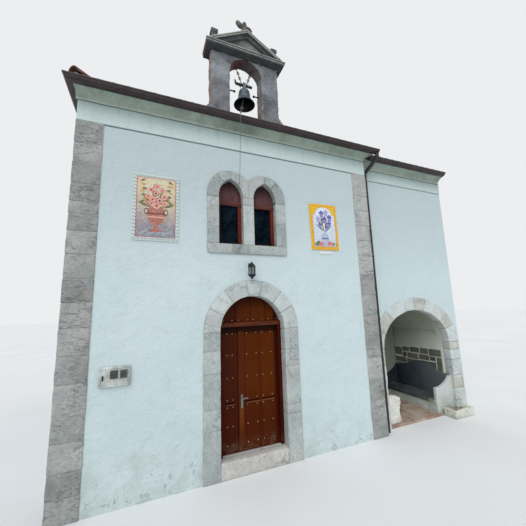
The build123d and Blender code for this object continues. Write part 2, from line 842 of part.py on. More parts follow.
# Bell with a crown that the bar runs through, and a pin inside for the clapper
with BuildPart() as bell:
    with BuildSketch(Plane.XZ.offset(-bell_axis_y)):
        with BuildLine():
            outer = Spline(
                (gable_axis + bell_mouth_radius, bell_mouth_height),
                (gable_axis + bell_mouth_radius * 0.72, bell_mouth_height + bell_height * 0.26),
                (gable_axis + bell_shoulder_radius * 1.07, bell_mouth_height + bell_height * 0.62),
                (gable_axis + bell_shoulder_radius * 0.93, bell_mouth_height + bell_height * 0.88),
                (gable_axis + bell_shoulder_radius * 0.62, bell_crown),
            )
            Line(outer @ 1, (gable_axis, bell_crown))
            Line((gable_axis, bell_crown), (gable_axis, bell_crown - bell_wall))
            Line(
                (gable_axis, bell_crown - bell_wall),
                (gable_axis + bell_shoulder_radius * 0.5, bell_crown - bell_wall),
            )
            inner = Spline(
                (gable_axis + bell_shoulder_radius * 0.5, bell_crown - bell_wall),
                (
                    gable_axis + bell_shoulder_radius * 0.93 - bell_wall,
                    bell_mouth_height + bell_height * 0.85,
                ),
                (
                    gable_axis + bell_shoulder_radius * 1.07 - bell_wall,
                    bell_mouth_height + bell_height * 0.6,
                ),
                (gable_axis + bell_mouth_radius * 0.72 - bell_wall, bell_mouth_height + bell_height * 0.24),
                (gable_axis + bell_mouth_radius - 1.5 * bell_wall, bell_mouth_height),
            )
            Line(inner @ 1, outer @ 0)
        make_face()
    revolve(axis=Axis((gable_axis, bell_axis_y, 0), (0, 0, 1)))
    crown_top = hanger_height + hanger_radius + 14
    with Locations(Location((gable_axis, bell_axis_y, (bell_crown - 6 + crown_top) / 2), (0, 0, bell_turn))):
        Box(crown_width, 2 * hanger_radius + 28, crown_top - bell_crown + 6)
    with Locations(Location((gable_axis, bell_axis_y, hanger_height), (0, 90, bell_turn))):
        Cylinder(hanger_radius + crown_gap, 200, mode=Mode.SUBTRACT)
    for side in (-1, 1):
        lug_y = bell_axis_y + side * 22
        block(
            (gable_axis - 14, gable_axis + 14),
            (lug_y - 6, lug_y + 6),
            (clapper_pivot_height - 14, bell_crown - bell_wall + 4),
        )
        with Locations((gable_axis + side * strap_spacing, bell_axis_y, hanger_height + hanger_radius)):
            Cylinder(strap_radius + 4, 200, mode=Mode.SUBTRACT)
    with Locations(Location((gable_axis, bell_axis_y, clapper_pivot_height), (90, 0, 0))):
        Cylinder(clapper_pin_radius, 56)
finish(bell.part, "bell")

# Clapper, pulled to the left by its rope
lean_sin = math.sin(math.radians(clapper_lean))
lean_cos = math.cos(math.radians(clapper_lean))


def along_clapper(reach):
    """Point on the clapper's line at a distance from its pivot."""
    return (
        gable_axis - reach * lean_sin,
        bell_axis_y,
        clapper_pivot_height - reach * lean_cos,
    )


ball_cut = math.sqrt(clapper_ball_radius**2 - clapper_rod_radius**2)
clapper_plane = Plane(
    origin=along_clapper(0),
    x_dir=(lean_cos, 0, -lean_sin),
    z_dir=(0, -1, 0),
)
with BuildPart() as clapper:
    with BuildSketch(clapper_plane):
        with BuildLine():
            Line((0, -12), (clapper_rod_radius, -12))
            Line((clapper_rod_radius, -12), (clapper_rod_radius, ball_cut - clapper_ball_reach))
            ThreePointArc(
                (clapper_rod_radius, ball_cut - clapper_ball_reach),
                (clapper_ball_radius, -clapper_ball_reach),
                (clapper_rod_radius, -ball_cut - clapper_ball_reach),
            )
            Line((clapper_rod_radius, -ball_cut - clapper_ball_reach), (clapper_rod_radius, -clapper_reach))
            Line((clapper_rod_radius, -clapper_reach), (0, -clapper_reach))
            Line((0, -clapper_reach), (0, -12))
        make_face()
    revolve(axis=Axis(along_clapper(0), (lean_sin, 0, lean_cos)))
    with Locations(Location(along_clapper(0), (90, 0, 0))):
        Cylinder(18, 24)
        Cylinder(clapper_pin_radius + clapper_eye_gap, 60, mode=Mode.SUBTRACT)
finish(clapper.part, "clapper")

# Bell rope, from the clapper over the lip of the gutter and down into the left window
rope_top = clapper_reach + rope_tie_gap
rope_start = along_clapper(rope_top)
rope_knot = along_clapper(rope_top + 30)
rope_points = [
    rope_start,
    rope_knot,
    (rope_lip_x, front_lip - rope_clearance, gutter_top + rope_clearance),
    (rope_lip_x + 2, front_lip - rope_clearance, gutter_bottom - rope_clearance),
    (rope_entry_x + 20, -window_projection - rope_clearance, rope_entry_height + 60),
    (rope_entry_x, 30, rope_entry_height),
    (rope_entry_x, 230, rope_entry_height),
]
with BuildPart() as rope:
    with BuildLine() as rope_path:
        FilletPolyline(*rope_points, radius=rope_bend)
    with BuildSketch(Plane(origin=rope_path.wire() @ 0, z_dir=rope_path.wire() % 0)):
        Circle(rope_radius)
    sweep(path=rope_path.wire())
finish(rope.part, "bell_rope")

# Side bay: front wall with the niche opening
niche_left = niche_axis - niche_half_width
niche_right = niche_axis + niche_half_width
niche_vault_top = niche_spring + niche_rise + niche_vault_thickness
bay_front_back = bay_setback + bay_front_thickness
with BuildPart() as bay_front:
    block((half_nave, bay_right), (bay_setback, bay_front_back), (0, bay_eaves_height))
    with BuildSketch(at_depth(bay_setback)):
        with Locations((niche_axis, niche_spring)):
            Ellipse(niche_half_width, niche_rise)
        with Locations((niche_axis, niche_spring / 2)):
            Rectangle(2 * niche_half_width, niche_spring)
    extrude(amount=-bay_front_thickness, mode=Mode.SUBTRACT)
    with BuildSketch(at_depth(bay_setback)):
        with Locations((niche_ring_axis, niche_spring)):
            Ellipse(niche_ring_half_width, niche_ring_rise)
        with Locations((niche_ring_axis, niche_spring - niche_ring_rise)):
            Rectangle(4 * niche_ring_half_width, 2 * niche_ring_rise, mode=Mode.SUBTRACT)
        with Locations(((niche_right + niche_ring_axis + niche_ring_half_width) / 2, niche_spring / 2)):
            Rectangle(niche_ring_axis + niche_ring_half_width - niche_right, niche_spring)
    extrude(amount=-niche_ring_depth, mode=Mode.SUBTRACT)
finish(bay_front.part, "bay_front_wall")

with BuildPart() as niche_arch:
    with BuildSketch(at_depth(bay_setback - niche_ring_projection)):
        with Locations((niche_ring_axis, niche_spring)):
            Ellipse(niche_ring_half_width, niche_ring_rise)
        with Locations((niche_ring_axis, niche_spring - niche_ring_rise)):
            Rectangle(4 * niche_ring_half_width, 2 * niche_ring_rise, mode=Mode.SUBTRACT)
        with Locations(((niche_right + niche_ring_axis + niche_ring_half_width) / 2, niche_spring / 2)):
            Rectangle(niche_ring_axis + niche_ring_half_width - niche_right, niche_spring)
        with Locations((niche_axis, niche_spring)):
            Ellipse(niche_half_width, niche_rise, mode=Mode.SUBTRACT)
    extrude(amount=-(niche_ring_depth + niche_ring_projection))
finish(niche_arch.part, "niche_arch")

# Side bay: the other walls, the niche vault and its floor
bay_inner_y = bay_setback + niche_depth
bay_roof_front = bay_lip
bay_edge_top = edge_top - bay_drop


def bay_underside(y):
    """Height of the underside of the bay roof over depth y."""
    return bay_edge_top - roof_thickness + (y - bay_roof_front) * pitch_slope


with BuildPart() as bay_walls:
    with BuildSketch(Plane.YZ.offset(half_nave)):
        with BuildLine():
            Polyline(
                (bay_front_back, 0),
                (bay_front_back, bay_underside(bay_front_back)),
                (bay_back_face, bay_underside(bay_back_face)),
                (bay_back_face, 0),
                close=True,
            )
        make_face()
    extrude(amount=bay_width)
    block((niche_left, niche_right), (bay_front_back, bay_inner_y), (-10, 2 * eaves_height), Mode.SUBTRACT)
finish(bay_walls.part, "bay_walls")

with BuildPart() as vault:
    block((niche_left, niche_right), (bay_front_back, bay_inner_y), (niche_spring + niche_rise / 3, niche_vault_top))
    with BuildSketch(at_depth(bay_front_back)):
        with Locations((niche_axis, niche_spring)):
            Ellipse(niche_half_width, niche_rise + 60)
    extrude(amount=-niche_depth, mode=Mode.SUBTRACT)
finish(vault.part, "niche_vault")

with BuildPart() as niche_floor:
    block((niche_left, niche_right), (bay_setback, bay_inner_y), (0, niche_floor_height))
finish(niche_floor.part, "niche_floor")

# Benches in the niche
bench_rear = bay_inner_y
bench_start = bay_front_back - bench_front_advance
seat_left = niche_right - bench_depth
with BuildPart() as bench:
    block((seat_left, niche_right), (bench_start, bench_rear), (niche_floor_height, bench_seat_height - bench_slab))
    block(
        (seat_left - bench_nosing, niche_right),
        (bench_start, bench_rear),
        (bench_seat_height - bench_slab, bench_seat_height),
    )
finish(bench.part, "bench")

with BuildPart() as bench_back:
    with BuildSketch(Plane.YZ.offset(niche_right - bench_panel)):
        with BuildLine():
            Line((bench_start, bench_seat_height), (bench_start, bench_back_end))
            Spline(
                (bench_start, bench_back_end),
                ((bench_start + bench_rear) / 2, bench_back_peak),
                (bench_rear, bench_back_end),
                tangents=[(1, 0), (1, 0)],
            )
            Line((bench_rear, bench_back_end), (bench_rear, bench_seat_height))
            Line((bench_rear, bench_seat_height), (bench_start, bench_seat_height))
        make_face()
    extrude(amount=bench_panel)
finish(bench_back.part, "bench_back")

with BuildPart() as bench_arms:
    for y in (bench_start, bench_rear - bench_panel):
        with BuildSketch(at_depth(y)):
            with BuildLine():
                Line((niche_right - bench_panel, bench_seat_height), (niche_right - bench_panel, bench_back_end - 20))
                RadiusArc(
                    (niche_right - bench_panel, bench_back_end - 20),
                    (seat_left, bench_arm_tip),
                    bench_arm_radius,
                )
                Line((seat_left, bench_arm_tip), (seat_left, bench_seat_height))
                Line((seat_left, bench_seat_height), (niche_right - bench_panel, bench_seat_height))
            make_face()
        extrude(amount=-bench_panel)
finish(bench_arms.part, "bench_arms")

ring_front = bay_setback - niche_ring_projection
with BuildPart() as niche_blocks:
    block(
        (niche_left, niche_left + left_bench_depth),
        (bench_start, bench_start + left_bench_break),
        (niche_floor_height, left_bench_height),
    )
    block(
        (niche_left, niche_left + left_bench_depth),
        (bench_start + left_bench_break, bench_rear),
        (niche_floor_height, left_bench_low_height),
    )
    block((kerb_left, kerb_right), (bay_setback - kerb_projection, ring_front), (0, kerb_height))
    block((kerb_left, niche_right), (ring_front, bay_setback), (0, kerb_height))
finish(niche_blocks.part, "niche_blocks")

# Side bay: cornice, gutter and roof
with BuildPart() as bay_cornice:
    with BuildSketch(Plane.YZ.offset(half_nave)):
        cove_profile(bay_setback, -1, bay_cove_foot, bay_eaves_height)
    extrude(amount=bay_width)
    block((half_nave, bay_right), (bay_setback - frieze_projection, bay_setback), (string_height, bay_eaves_height))
finish(bay_cornice.part, "bay_cornice")

bay_gutter_top = gutter_top - bay_drop
bay_gutter_left = half_nave + cove_projection + 5
bay_gutter_right = bay_right - 40
with BuildPart() as bay_gutter:
    y_span = (bay_lip - gutter_width, bay_lip)
    block((bay_gutter_left, bay_gutter_right), y_span, (bay_gutter_top - gutter_height, bay_gutter_top))
    block(
        (bay_gutter_left + w, bay_gutter_right - w),
        (y_span[0] + w, y_span[1] - w),
        (bay_gutter_top - gutter_height + w, bay_gutter_top + 10),
        Mode.SUBTRACT,
    )
finish(bay_gutter.part, "bay_gutter")

with BuildPart() as bay_roof:
    with BuildSketch(Plane.YZ.offset(half_nave)):
        with BuildLine():
            Polyline(
                (bay_roof_front, bay_edge_top),
                (bay_back_face, bay_edge_top + (bay_back_face - bay_roof_front) * pitch_slope),
                (bay_back_face, bay_underside(bay_back_face)),
                (bay_front_back, bay_underside(bay_front_back)),
                (bay_front_back, bay_eaves_height),
                (bay_roof_front, bay_eaves_height),
                close=True,
            )
        make_face()
    extrude(amount=bay_width)
finish(bay_roof.part, "bay_roof")

# Downpipe from the end of the main gutter into the corner and down to the ground
pipe_axis_x = half_nave + pipe_radius + pipe_corner_gap
pipe_axis_y = bay_setback - niche_ring_projection - pipe_radius - pipe_wall_gap
with BuildPart() as downpipe:
    with BuildLine() as pipe_path:
        FilletPolyline(
            (gutter_right_end - pipe_outlet_inset, front_lip + gutter_width / 2, gutter_bottom),
            (gutter_right_end - pipe_outlet_inset, front_lip + gutter_width / 2, gutter_bottom - pipe_outlet_drop),
            (pipe_axis_x, pipe_axis_y, bay_cove_foot - pipe_swan_neck),
            (pipe_axis_x, pipe_axis_y, 0),
            radius=pipe_bend,
        )
    with BuildSketch(Plane(origin=pipe_path.wire() @ 0, z_dir=pipe_path.wire() % 0)):
        Circle(pipe_radius)
        Circle(pipe_radius - pipe_sheet, mode=Mode.SUBTRACT)
    sweep(path=pipe_path.wire())
finish(downpipe.part, "downpipe")

# Fittings on the front
with BuildPart() as tile_panels:
    for (width, height), (x, z), tilt in (
        (left_panel_size, (left_panel_x, light_sill + left_panel_rise), 0),
        (right_panel_size, (right_panel_x, light_sill + right_panel_rise), right_panel_tilt),
    ):
        with BuildSketch(at_depth(-panel_thickness)):
            with Locations(Location((x, z, 0), (0, 0, tilt))):
                Rectangle(width, height)
        extrude(amount=-panel_thickness)
    plate_z = light_sill + right_panel_rise - (right_panel_size[1] + plate_size[1]) / 2 - plate_gap
    with BuildSketch(at_depth(-plate_thickness)):
        with Locations((right_panel_x, plate_z)):
            Rectangle(*plate_size)
    extrude(amount=-plate_thickness)
finish(tile_panels.part, "tile_panels")

with BuildPart() as meter_box:
    with BuildSketch(at_depth(-meter_depth)):
        with Locations(meter_place):
            RectangleRounded(*meter_size, meter_corner)
    extrude(amount=-meter_depth)
finish(meter_box.part, "meter_box")

lantern_foot = door_spring + door_outer + lantern_above_arch
lantern_top = lantern_foot + lantern_height
lantern_eaves = lantern_top - lantern_cap_height
with BuildPart() as lantern:
    with BuildSketch(Plane.XY.offset(lantern_foot + lantern_spike)):
        with Locations((lantern_axis, -lantern_reach)):
            RegularPolygon(lantern_radius * 0.75, 6)
    with BuildSketch(Plane.XY.offset(lantern_eaves)):
        with Locations((lantern_axis, -lantern_reach)):
            RegularPolygon(lantern_radius, 6)
    loft()
    with Locations((lantern_axis, -lantern_reach, lantern_eaves)):
        Cone(
            lantern_radius * 1.05,
            lantern_radius * 0.2,
            lantern_cap_height,
            align=(Align.CENTER, Align.CENTER, Align.MIN),
        )
    with Locations((lantern_axis, -lantern_reach, lantern_foot)):
        Cylinder(14, lantern_spike + 4, align=(Align.CENTER, Align.CENTER, Align.MIN))
    block(
        (lantern_axis - 10, lantern_axis + 10),
        (-lantern_reach, 0),
        (lantern_eaves + 20, lantern_eaves + 40),
    )
    block(
        (lantern_axis - 30, lantern_axis + 30),
        (-10, 0),
        (lantern_eaves - 40, lantern_eaves + 80),
    )
finish(lantern.part, "lantern")
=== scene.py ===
import math
import random

import bmesh
import bpy
import numpy as np
from mathutils import Matrix, Vector, noise


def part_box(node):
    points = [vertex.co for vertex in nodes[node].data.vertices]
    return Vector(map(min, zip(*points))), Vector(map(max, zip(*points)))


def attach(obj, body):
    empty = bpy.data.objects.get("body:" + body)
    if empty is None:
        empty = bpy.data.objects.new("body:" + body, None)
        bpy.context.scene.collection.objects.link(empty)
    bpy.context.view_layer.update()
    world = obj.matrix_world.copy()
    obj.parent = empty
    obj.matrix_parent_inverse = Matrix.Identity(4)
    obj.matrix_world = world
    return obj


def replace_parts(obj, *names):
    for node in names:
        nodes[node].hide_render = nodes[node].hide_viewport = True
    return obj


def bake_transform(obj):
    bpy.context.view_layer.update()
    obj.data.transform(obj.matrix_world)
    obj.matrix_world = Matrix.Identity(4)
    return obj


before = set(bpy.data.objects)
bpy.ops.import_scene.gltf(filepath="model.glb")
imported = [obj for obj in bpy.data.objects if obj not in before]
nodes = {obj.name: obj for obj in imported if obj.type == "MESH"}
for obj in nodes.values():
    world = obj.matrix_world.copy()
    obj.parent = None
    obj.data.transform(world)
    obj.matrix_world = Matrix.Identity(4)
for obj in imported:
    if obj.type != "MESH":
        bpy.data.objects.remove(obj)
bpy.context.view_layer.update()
BUILDING = "building"


# ---------------------------------------------------------------- small tools
def srgb(r, g, b):
    """Linear colour from 0 to 255 screen values."""
    out = []
    for c in (r, g, b):
        c = c / 255
        out.append(c / 12.92 if c <= 0.04045 else ((c + 0.055) / 1.055) ** 2.4)
    return (*out, 1.0)


class Shader:
    """A Principled material whose textures are all in the part's own metres."""

    def __init__(self, name, roughness=0.85, metallic=0.0):
        self.mat = bpy.data.materials.new(name)
        self.mat.use_nodes = True
        self.nt = self.mat.node_tree
        self.nt.nodes.clear()
        out = self.nt.nodes.new("ShaderNodeOutputMaterial")
        self.bsdf = self.nt.nodes.new("ShaderNodeBsdfPrincipled")
        self.nt.links.new(self.bsdf.outputs[0], out.inputs[0])
        self.bsdf.inputs["Roughness"].default_value = roughness
        self.bsdf.inputs["Metallic"].default_value = metallic
        self.co = self.nt.nodes.new("ShaderNodeTexCoord").outputs["Object"]
        self.xyz = None

    def put(self, value, socket):
        """Feeds a socket with another one, a number or a screen colour of three values."""
        if isinstance(value, bpy.types.NodeSocket):
            self.nt.links.new(value, socket)
        else:
            socket.default_value = srgb(*value) if isinstance(value, tuple) and len(value) == 3 else value

    def scaled(self, x, y, z):
        n = self.nt.nodes.new("ShaderNodeMapping")
        self.nt.links.new(self.co, n.inputs["Vector"])
        n.inputs["Scale"].default_value = (x, y, z)
        return n.outputs[0]

    def noise(self, scale, detail=4.0, rough=0.55, distortion=0.0, vector=None):
        n = self.nt.nodes.new("ShaderNodeTexNoise")
        self.nt.links.new(vector or self.co, n.inputs["Vector"])
        n.inputs["Scale"].default_value = scale
        n.inputs["Detail"].default_value = detail
        n.inputs["Roughness"].default_value = rough
        n.inputs["Distortion"].default_value = distortion
        return n.outputs["Fac"]

    def voronoi(self, scale, vector=None):
        n = self.nt.nodes.new("ShaderNodeTexVoronoi")
        self.nt.links.new(vector or self.co, n.inputs["Vector"])
        n.inputs["Scale"].default_value = scale
        return n.outputs["Distance"]

    def warped(self, amount, scale):
        """Object coordinates pushed about by noise."""
        n = self.nt.nodes.new("ShaderNodeTexNoise")
        self.nt.links.new(self.co, n.inputs["Vector"])
        n.inputs["Scale"].default_value = scale
        n.inputs["Detail"].default_value = 3
        m = self.nt.nodes.new("ShaderNodeVectorMath")
        m.operation = "MULTIPLY_ADD"
        self.nt.links.new(n.outputs["Color"], m.inputs[0])
        m.inputs[1].default_value = (amount, amount, amount)
        self.nt.links.new(self.co, m.inputs[2])
        return m.outputs[0]

    def axis(self, i):
        if self.xyz is None:
            n = self.nt.nodes.new("ShaderNodeSeparateXYZ")
            self.nt.links.new(self.co, n.inputs[0])
            self.xyz = n.outputs
        return self.xyz[i]

    def facing(self, i, a, b):
        """How far the surface faces along an axis, from 0 at a to 1 at b."""
        n = self.nt.nodes.new("ShaderNodeNewGeometry")
        x = self.nt.nodes.new("ShaderNodeSeparateXYZ")
        self.nt.links.new(n.outputs["Normal"], x.inputs[0])
        return self.span(x.outputs[i], a, b)

    def ramp(self, fac, *stops):
        """Stops of (position, grey level or screen colour)."""
        n = self.nt.nodes.new("ShaderNodeValToRGB")
        self.nt.links.new(fac, n.inputs[0])
        r = n.color_ramp
        while len(r.elements) < len(stops):
            r.elements.new(1.0)
        for e, (pos, c) in zip(r.elements, stops):
            e.position = pos
            e.color = srgb(*c) if isinstance(c, tuple) else (c, c, c, 1.0)
        return n.outputs[0]

    def span(self, value, a, b, to_a=0.0, to_b=1.0):
        n = self.nt.nodes.new("ShaderNodeMapRange")
        self.nt.links.new(value, n.inputs[0])
        for i, v in enumerate((a, b, to_a, to_b)):
            n.inputs[i + 1].default_value = v
        return n.outputs[0]

    def math(self, op, a, b=0.0):
        n = self.nt.nodes.new("ShaderNodeMath")
        n.operation = op
        self.put(a, n.inputs[0])
        self.put(b, n.inputs[1])
        return n.outputs[0]

    def mul(self, a, b):
        return self.math("MULTIPLY", a, b)

    def add(self, a, b):
        return self.math("ADD", a, b)

    def mix(self, fac, a, b):
        n = self.nt.nodes.new("ShaderNodeMix")
        n.data_type = "RGBA"
        self.put(fac, n.inputs[0])
        self.put(a, n.inputs[6])
        self.put(b, n.inputs[7])
        return n.outputs[2]

    def blotches(self, c, colour, noise, *stops):
        """Colour laid over c where the noise is high or low, as the stops say."""
        return self.mix(self.ramp(self.noise(*noise), *stops), c, colour)

    def color(self, value):
        self.put(value, self.bsdf.inputs["Base Color"])

    def roughness(self, value):
        self.put(value, self.bsdf.inputs["Roughness"])

    def bumps(self, *layers):
        """Layers of (height, distance in metres)."""
        normal = None
        for height, distance in layers:
            n = self.nt.nodes.new("ShaderNodeBump")
            n.inputs["Distance"].default_value = distance
            n.inputs["Strength"].default_value = 1.0
            self.nt.links.new(height, n.inputs["Height"])
            if normal is not None:
                self.nt.links.new(normal, n.inputs["Normal"])
            normal = n.outputs[0]
        self.nt.links.new(normal, self.bsdf.inputs["Normal"])


# ---------------------------------------------------------------- materials
def ridged(s, scale, width, detail=4, distortion=0.4, vector=None):
    """Thin wandering lines: 1 on a line, 0 away from it."""
    n = s.noise(scale, detail, 0.55, distortion, vector)
    return s.ramp(s.math("ABSOLUTE", s.math("SUBTRACT", n, 0.5)), (0.0, 1.0), (width, 0.0))


def between(s, value, a, b, edge=0.004):
    """1 where the value lies between a and b."""
    return s.mul(s.span(value, a - edge, a + edge), s.span(value, b + edge, b - edge))


EAVES_STAIN = 5.6


def render_coat(s, light, mid, dark, streak=0.25, ground=1.0):
    """Colour and bump layers of lime render."""
    broad = s.noise(0.55, 5, 0.6, 0.3)
    c = s.ramp(broad, (0.3, mid), (0.7, light))
    stain = s.noise(3.1, 7, 0.62, 0.6)
    c = s.mix(s.ramp(stain, (0.52, 0.0), (0.8, 0.45)), c, dark)
    fine = s.noise(38, 5, 0.7)
    c = s.mix(s.ramp(fine, (0.44, 0.06), (0.6, 0.0)), c, dark)
    runs = s.noise(1.0, 5, 0.6, 0.2, s.scaled(9, 9, 0.5))
    runs = s.mul(s.ramp(runs, (0.5, 0.0), (0.75, streak)), s.span(s.axis(2), EAVES_STAIN - 1.7, EAVES_STAIN))
    c = s.mix(runs, c, (dark[0] - 40, dark[1] - 36, dark[2] - 40))
    low = s.mul(s.span(s.axis(2), 0.9, 0.0), ground)
    c = s.mix(s.mul(low, s.ramp(stain, (0.38, 0.0), (0.7, 0.5))), c, (158, 166, 148))
    flecks = s.mul(s.ramp(s.noise(24, 6, 0.75), (0.58, 0.0), (0.64, 0.55)),
        s.span(s.axis(2), 1.0, 0.2, 0.0, min(1.0, ground)))
    c = s.mix(flecks, c, (124, 132, 124))
    bare = s.ramp(s.add(s.noise(5.5, 8, 0.72, 0.4), s.mul(low, 0.14)), (0.72, 0.0), (0.74, 1.0))
    c = s.mix(s.mul(bare, 0.35), c, (160, 164, 156))
    crack = s.mul(ridged(s, 1.3, 0.006, 5, 0.3), s.ramp(s.noise(0.9, 2), (0.52, 0.0), (0.6, 0.25)))
    c = s.mix(crack, c, (dark[0] - 30, dark[1] - 30, dark[2] - 30))
    layers = [
        (s.noise(1.9, 3, 0.5), 0.035),
        (s.noise(9, 5, 0.6, 1.2), 0.014),
        (s.ramp(s.voronoi(7, s.warped(0.2, 3)), (0.0, 1.0), (0.35, 0.0)), 0.003),
        (bare, -0.004),
        (fine, 0.003),
        (s.noise(240, 2, 0.5), 0.0006),
    ]
    return c, layers


def lime_render(name, light, mid, dark, streak=0.25, ground=1.0):
    s = Shader(name, 0.9)
    c, layers = render_coat(s, light, mid, dark, streak, ground)
    s.color(c)
    s.bumps(*layers)
    return s.mat


def wall_render(name, niche=False):
    s = Shader(name, 0.9)
    c, layers = render_coat(s, (208, 223, 226), (197, 213, 216), (178, 194, 197))
    c = s.mix(s.span(s.axis(0), -0.5, 4.2, 0.0, 0.6), c, (212, 229, 232))
    c = s.mix(s.span(s.axis(2), 3.2, 4.8, 0.0, 0.75), c, (182, 196, 199))
    # a dark line just under the frieze's lower edge: painted shadow of that edge
    z = s.add(s.axis(2), s.mul(s.noise(4, 4), 0.012))
    c = s.mix(s.mul(between(s, z, 5.567, 5.592), 0.8), c, (84, 102, 100))
    if niche:
        c = s.mix(0.3, c, (186, 201, 204))
        # inside the niche the colour takes the niche's painted shade and light
        inside = s.mul(between(s, s.axis(0), 3.1, 5.4), between(s, s.axis(1), 0.33, 1.95))
        inside = s.mul(inside, s.span(s.axis(2), 2.7, 2.66))
        c = s.mix(inside, c, niche_tone_and_painted_shade(s))
    s.color(c)
    s.bumps(*layers)
    return s.mat


def niche_tone_and_painted_shade(s):
    """Greenish, with damp blotches; painted shade darkens it upwards under the vault, deeper into the niche and in
    its back corner, and painted light makes it paler near the seat.
    """
    # painted shade: darker upwards under the vault
    c = s.ramp(
        s.span(s.add(s.axis(2), s.mul(s.noise(1.3, 4), 0.5)), 0.6, 2.7),
        (0.0, (206, 214, 208)),
        (0.45, (196, 203, 192)),
        (0.75, (168, 173, 158)),
        (1.0, (146, 151, 134)),
    )
    c = s.blotches(c, (140, 147, 128), (2.4, 5, 0.6), (0.5, 0.0), (0.75, 0.25))
    # painted light: paler near the opening and low down
    near = s.mul(s.span(s.axis(1), 1.2, 0.3), s.span(s.axis(2), 2.4, 1.5))
    c = s.mix(s.mul(near, 0.7), c, (222, 228, 222))
    # painted shade deeper into the niche, darkest in its back corner
    c = s.mix(s.span(s.axis(1), 1.2, 1.8, 0.0, 0.3), c, (128, 135, 116))
    return s.mix(s.mul(s.span(s.axis(1), 1.85, 1.865), 0.65), c, (112, 117, 100))


def niche_render(name):
    s = Shader(name, 0.9)
    c, layers = render_coat(s, (200, 208, 204), (188, 196, 190), (160, 168, 158), 0.0)
    # higher up, the niche's colour with its painted shade and light
    c = s.mix(s.span(s.axis(2), 0.9, 1.4), c, niche_tone_and_painted_shade(s))
    s.color(c)
    s.bumps(*layers)
    return s.mat


def bench_render(name):
    """White masonry of the seat, with its slate top and the slate lining of the far arm."""
    s = Shader(name, 0.85)
    c, layers = render_coat(s, (206, 214, 212), (194, 202, 199), (160, 166, 158), 0.0, 1.4)
    wander = s.mul(s.noise(7, 4), 0.016)
    seat = s.mul(between(s, s.add(s.axis(2), wander), 0.27, 0.345, 0.002), s.span(s.axis(1), 0.296, 0.302))
    far = s.mul(s.span(s.axis(1), 1.78, 1.8), s.span(s.axis(2), 0.3, 0.33))
    top = s.mul(s.span(s.axis(0), 4.60, 4.64), s.math("MAXIMUM", seat, far))
    dust = s.mul(s.ramp(s.noise(2.6, 6, 0.65, 0.5), (0.42, 0.0), (0.66, 0.4)), s.span(s.axis(2), 0.4, 0.34))
    # painted shade: the slate darkens towards the back of the niche, and a painted sheen lightens it towards the
    # front
    slate = s.mix(dust, s.ramp(s.span(s.axis(1), 1.9, 0.4), (0.0, (24, 32, 44)), (1.0, (74, 80, 84))),
        (124, 122, 110))
    near = s.mul(s.span(s.axis(1), 0.5, 0.36), s.ramp(s.noise(8, 5, 0.7), (0.4, 0.0), (0.5, 0.85)))
    slate = s.mix(near, slate, (176, 172, 156))
    c = s.mix(top, c, slate)
    s.color(c)
    s.bumps(*layers)
    return s.mat


def slate_slab(name):
    """Blue-black in painted shade at the far end, paler with a painted sheen and dustier at the near one, with a
    rendered end face.
    """
    s = Shader(name, 0.55)
    # painted shade at the far end and a painted sheen at the near end
    c = s.ramp(s.span(s.add(s.axis(1), s.mul(s.noise(2, 4), 0.5)), 2.1, 0.6), (0.0, (26, 36, 52)),
        (0.5, (68, 78, 86)), (1.0, (112, 120, 124)))
    c = s.blotches(c, (110, 116, 116), (9, 6, 0.65), (0.5, 0.0), (0.7, 0.2))
    c = s.blotches(c, (34, 40, 46), (40, 4, 0.6), (0.4, 0.3), (0.5, 0.0))
    c = s.mix(s.facing(1, -0.6, -0.9), c, (196, 204, 200))
    s.color(c)
    s.bumps((s.noise(5, 4, 0.5), 0.004), (s.noise(60, 4, 0.6), 0.0006))
    return s.mat


def masonry(name):
    """Broken rendered masonry: white faces, earth in the sunk top of the kerb."""
    s = Shader(name, 0.92)
    c, layers = render_coat(s, (232, 232, 224), (218, 219, 208), (180, 178, 160), 0.0, 1.2)
    earth = s.mul(between(s, s.axis(0), 4.88, 5.36, 0.008), s.mul(s.span(s.axis(1), -0.05, -0.035),
        s.facing(2, 0.4, 0.75)))
    c = s.mix(s.mul(earth, 0.9), c, s.ramp(s.noise(12, 6, 0.7), (0.4, (92, 88, 70)), (0.6, (150, 142, 122))))
    warm = s.mul(s.ramp(s.noise(5, 6, 0.7), (0.52, 0.0), (0.62, 0.5)), s.span(s.axis(2), 0.5, 0.1))
    c = s.mix(warm, c, (196, 172, 150))
    s.color(c)
    s.bumps(*layers, (s.noise(14, 6, 0.7), 0.012))
    return s.mat


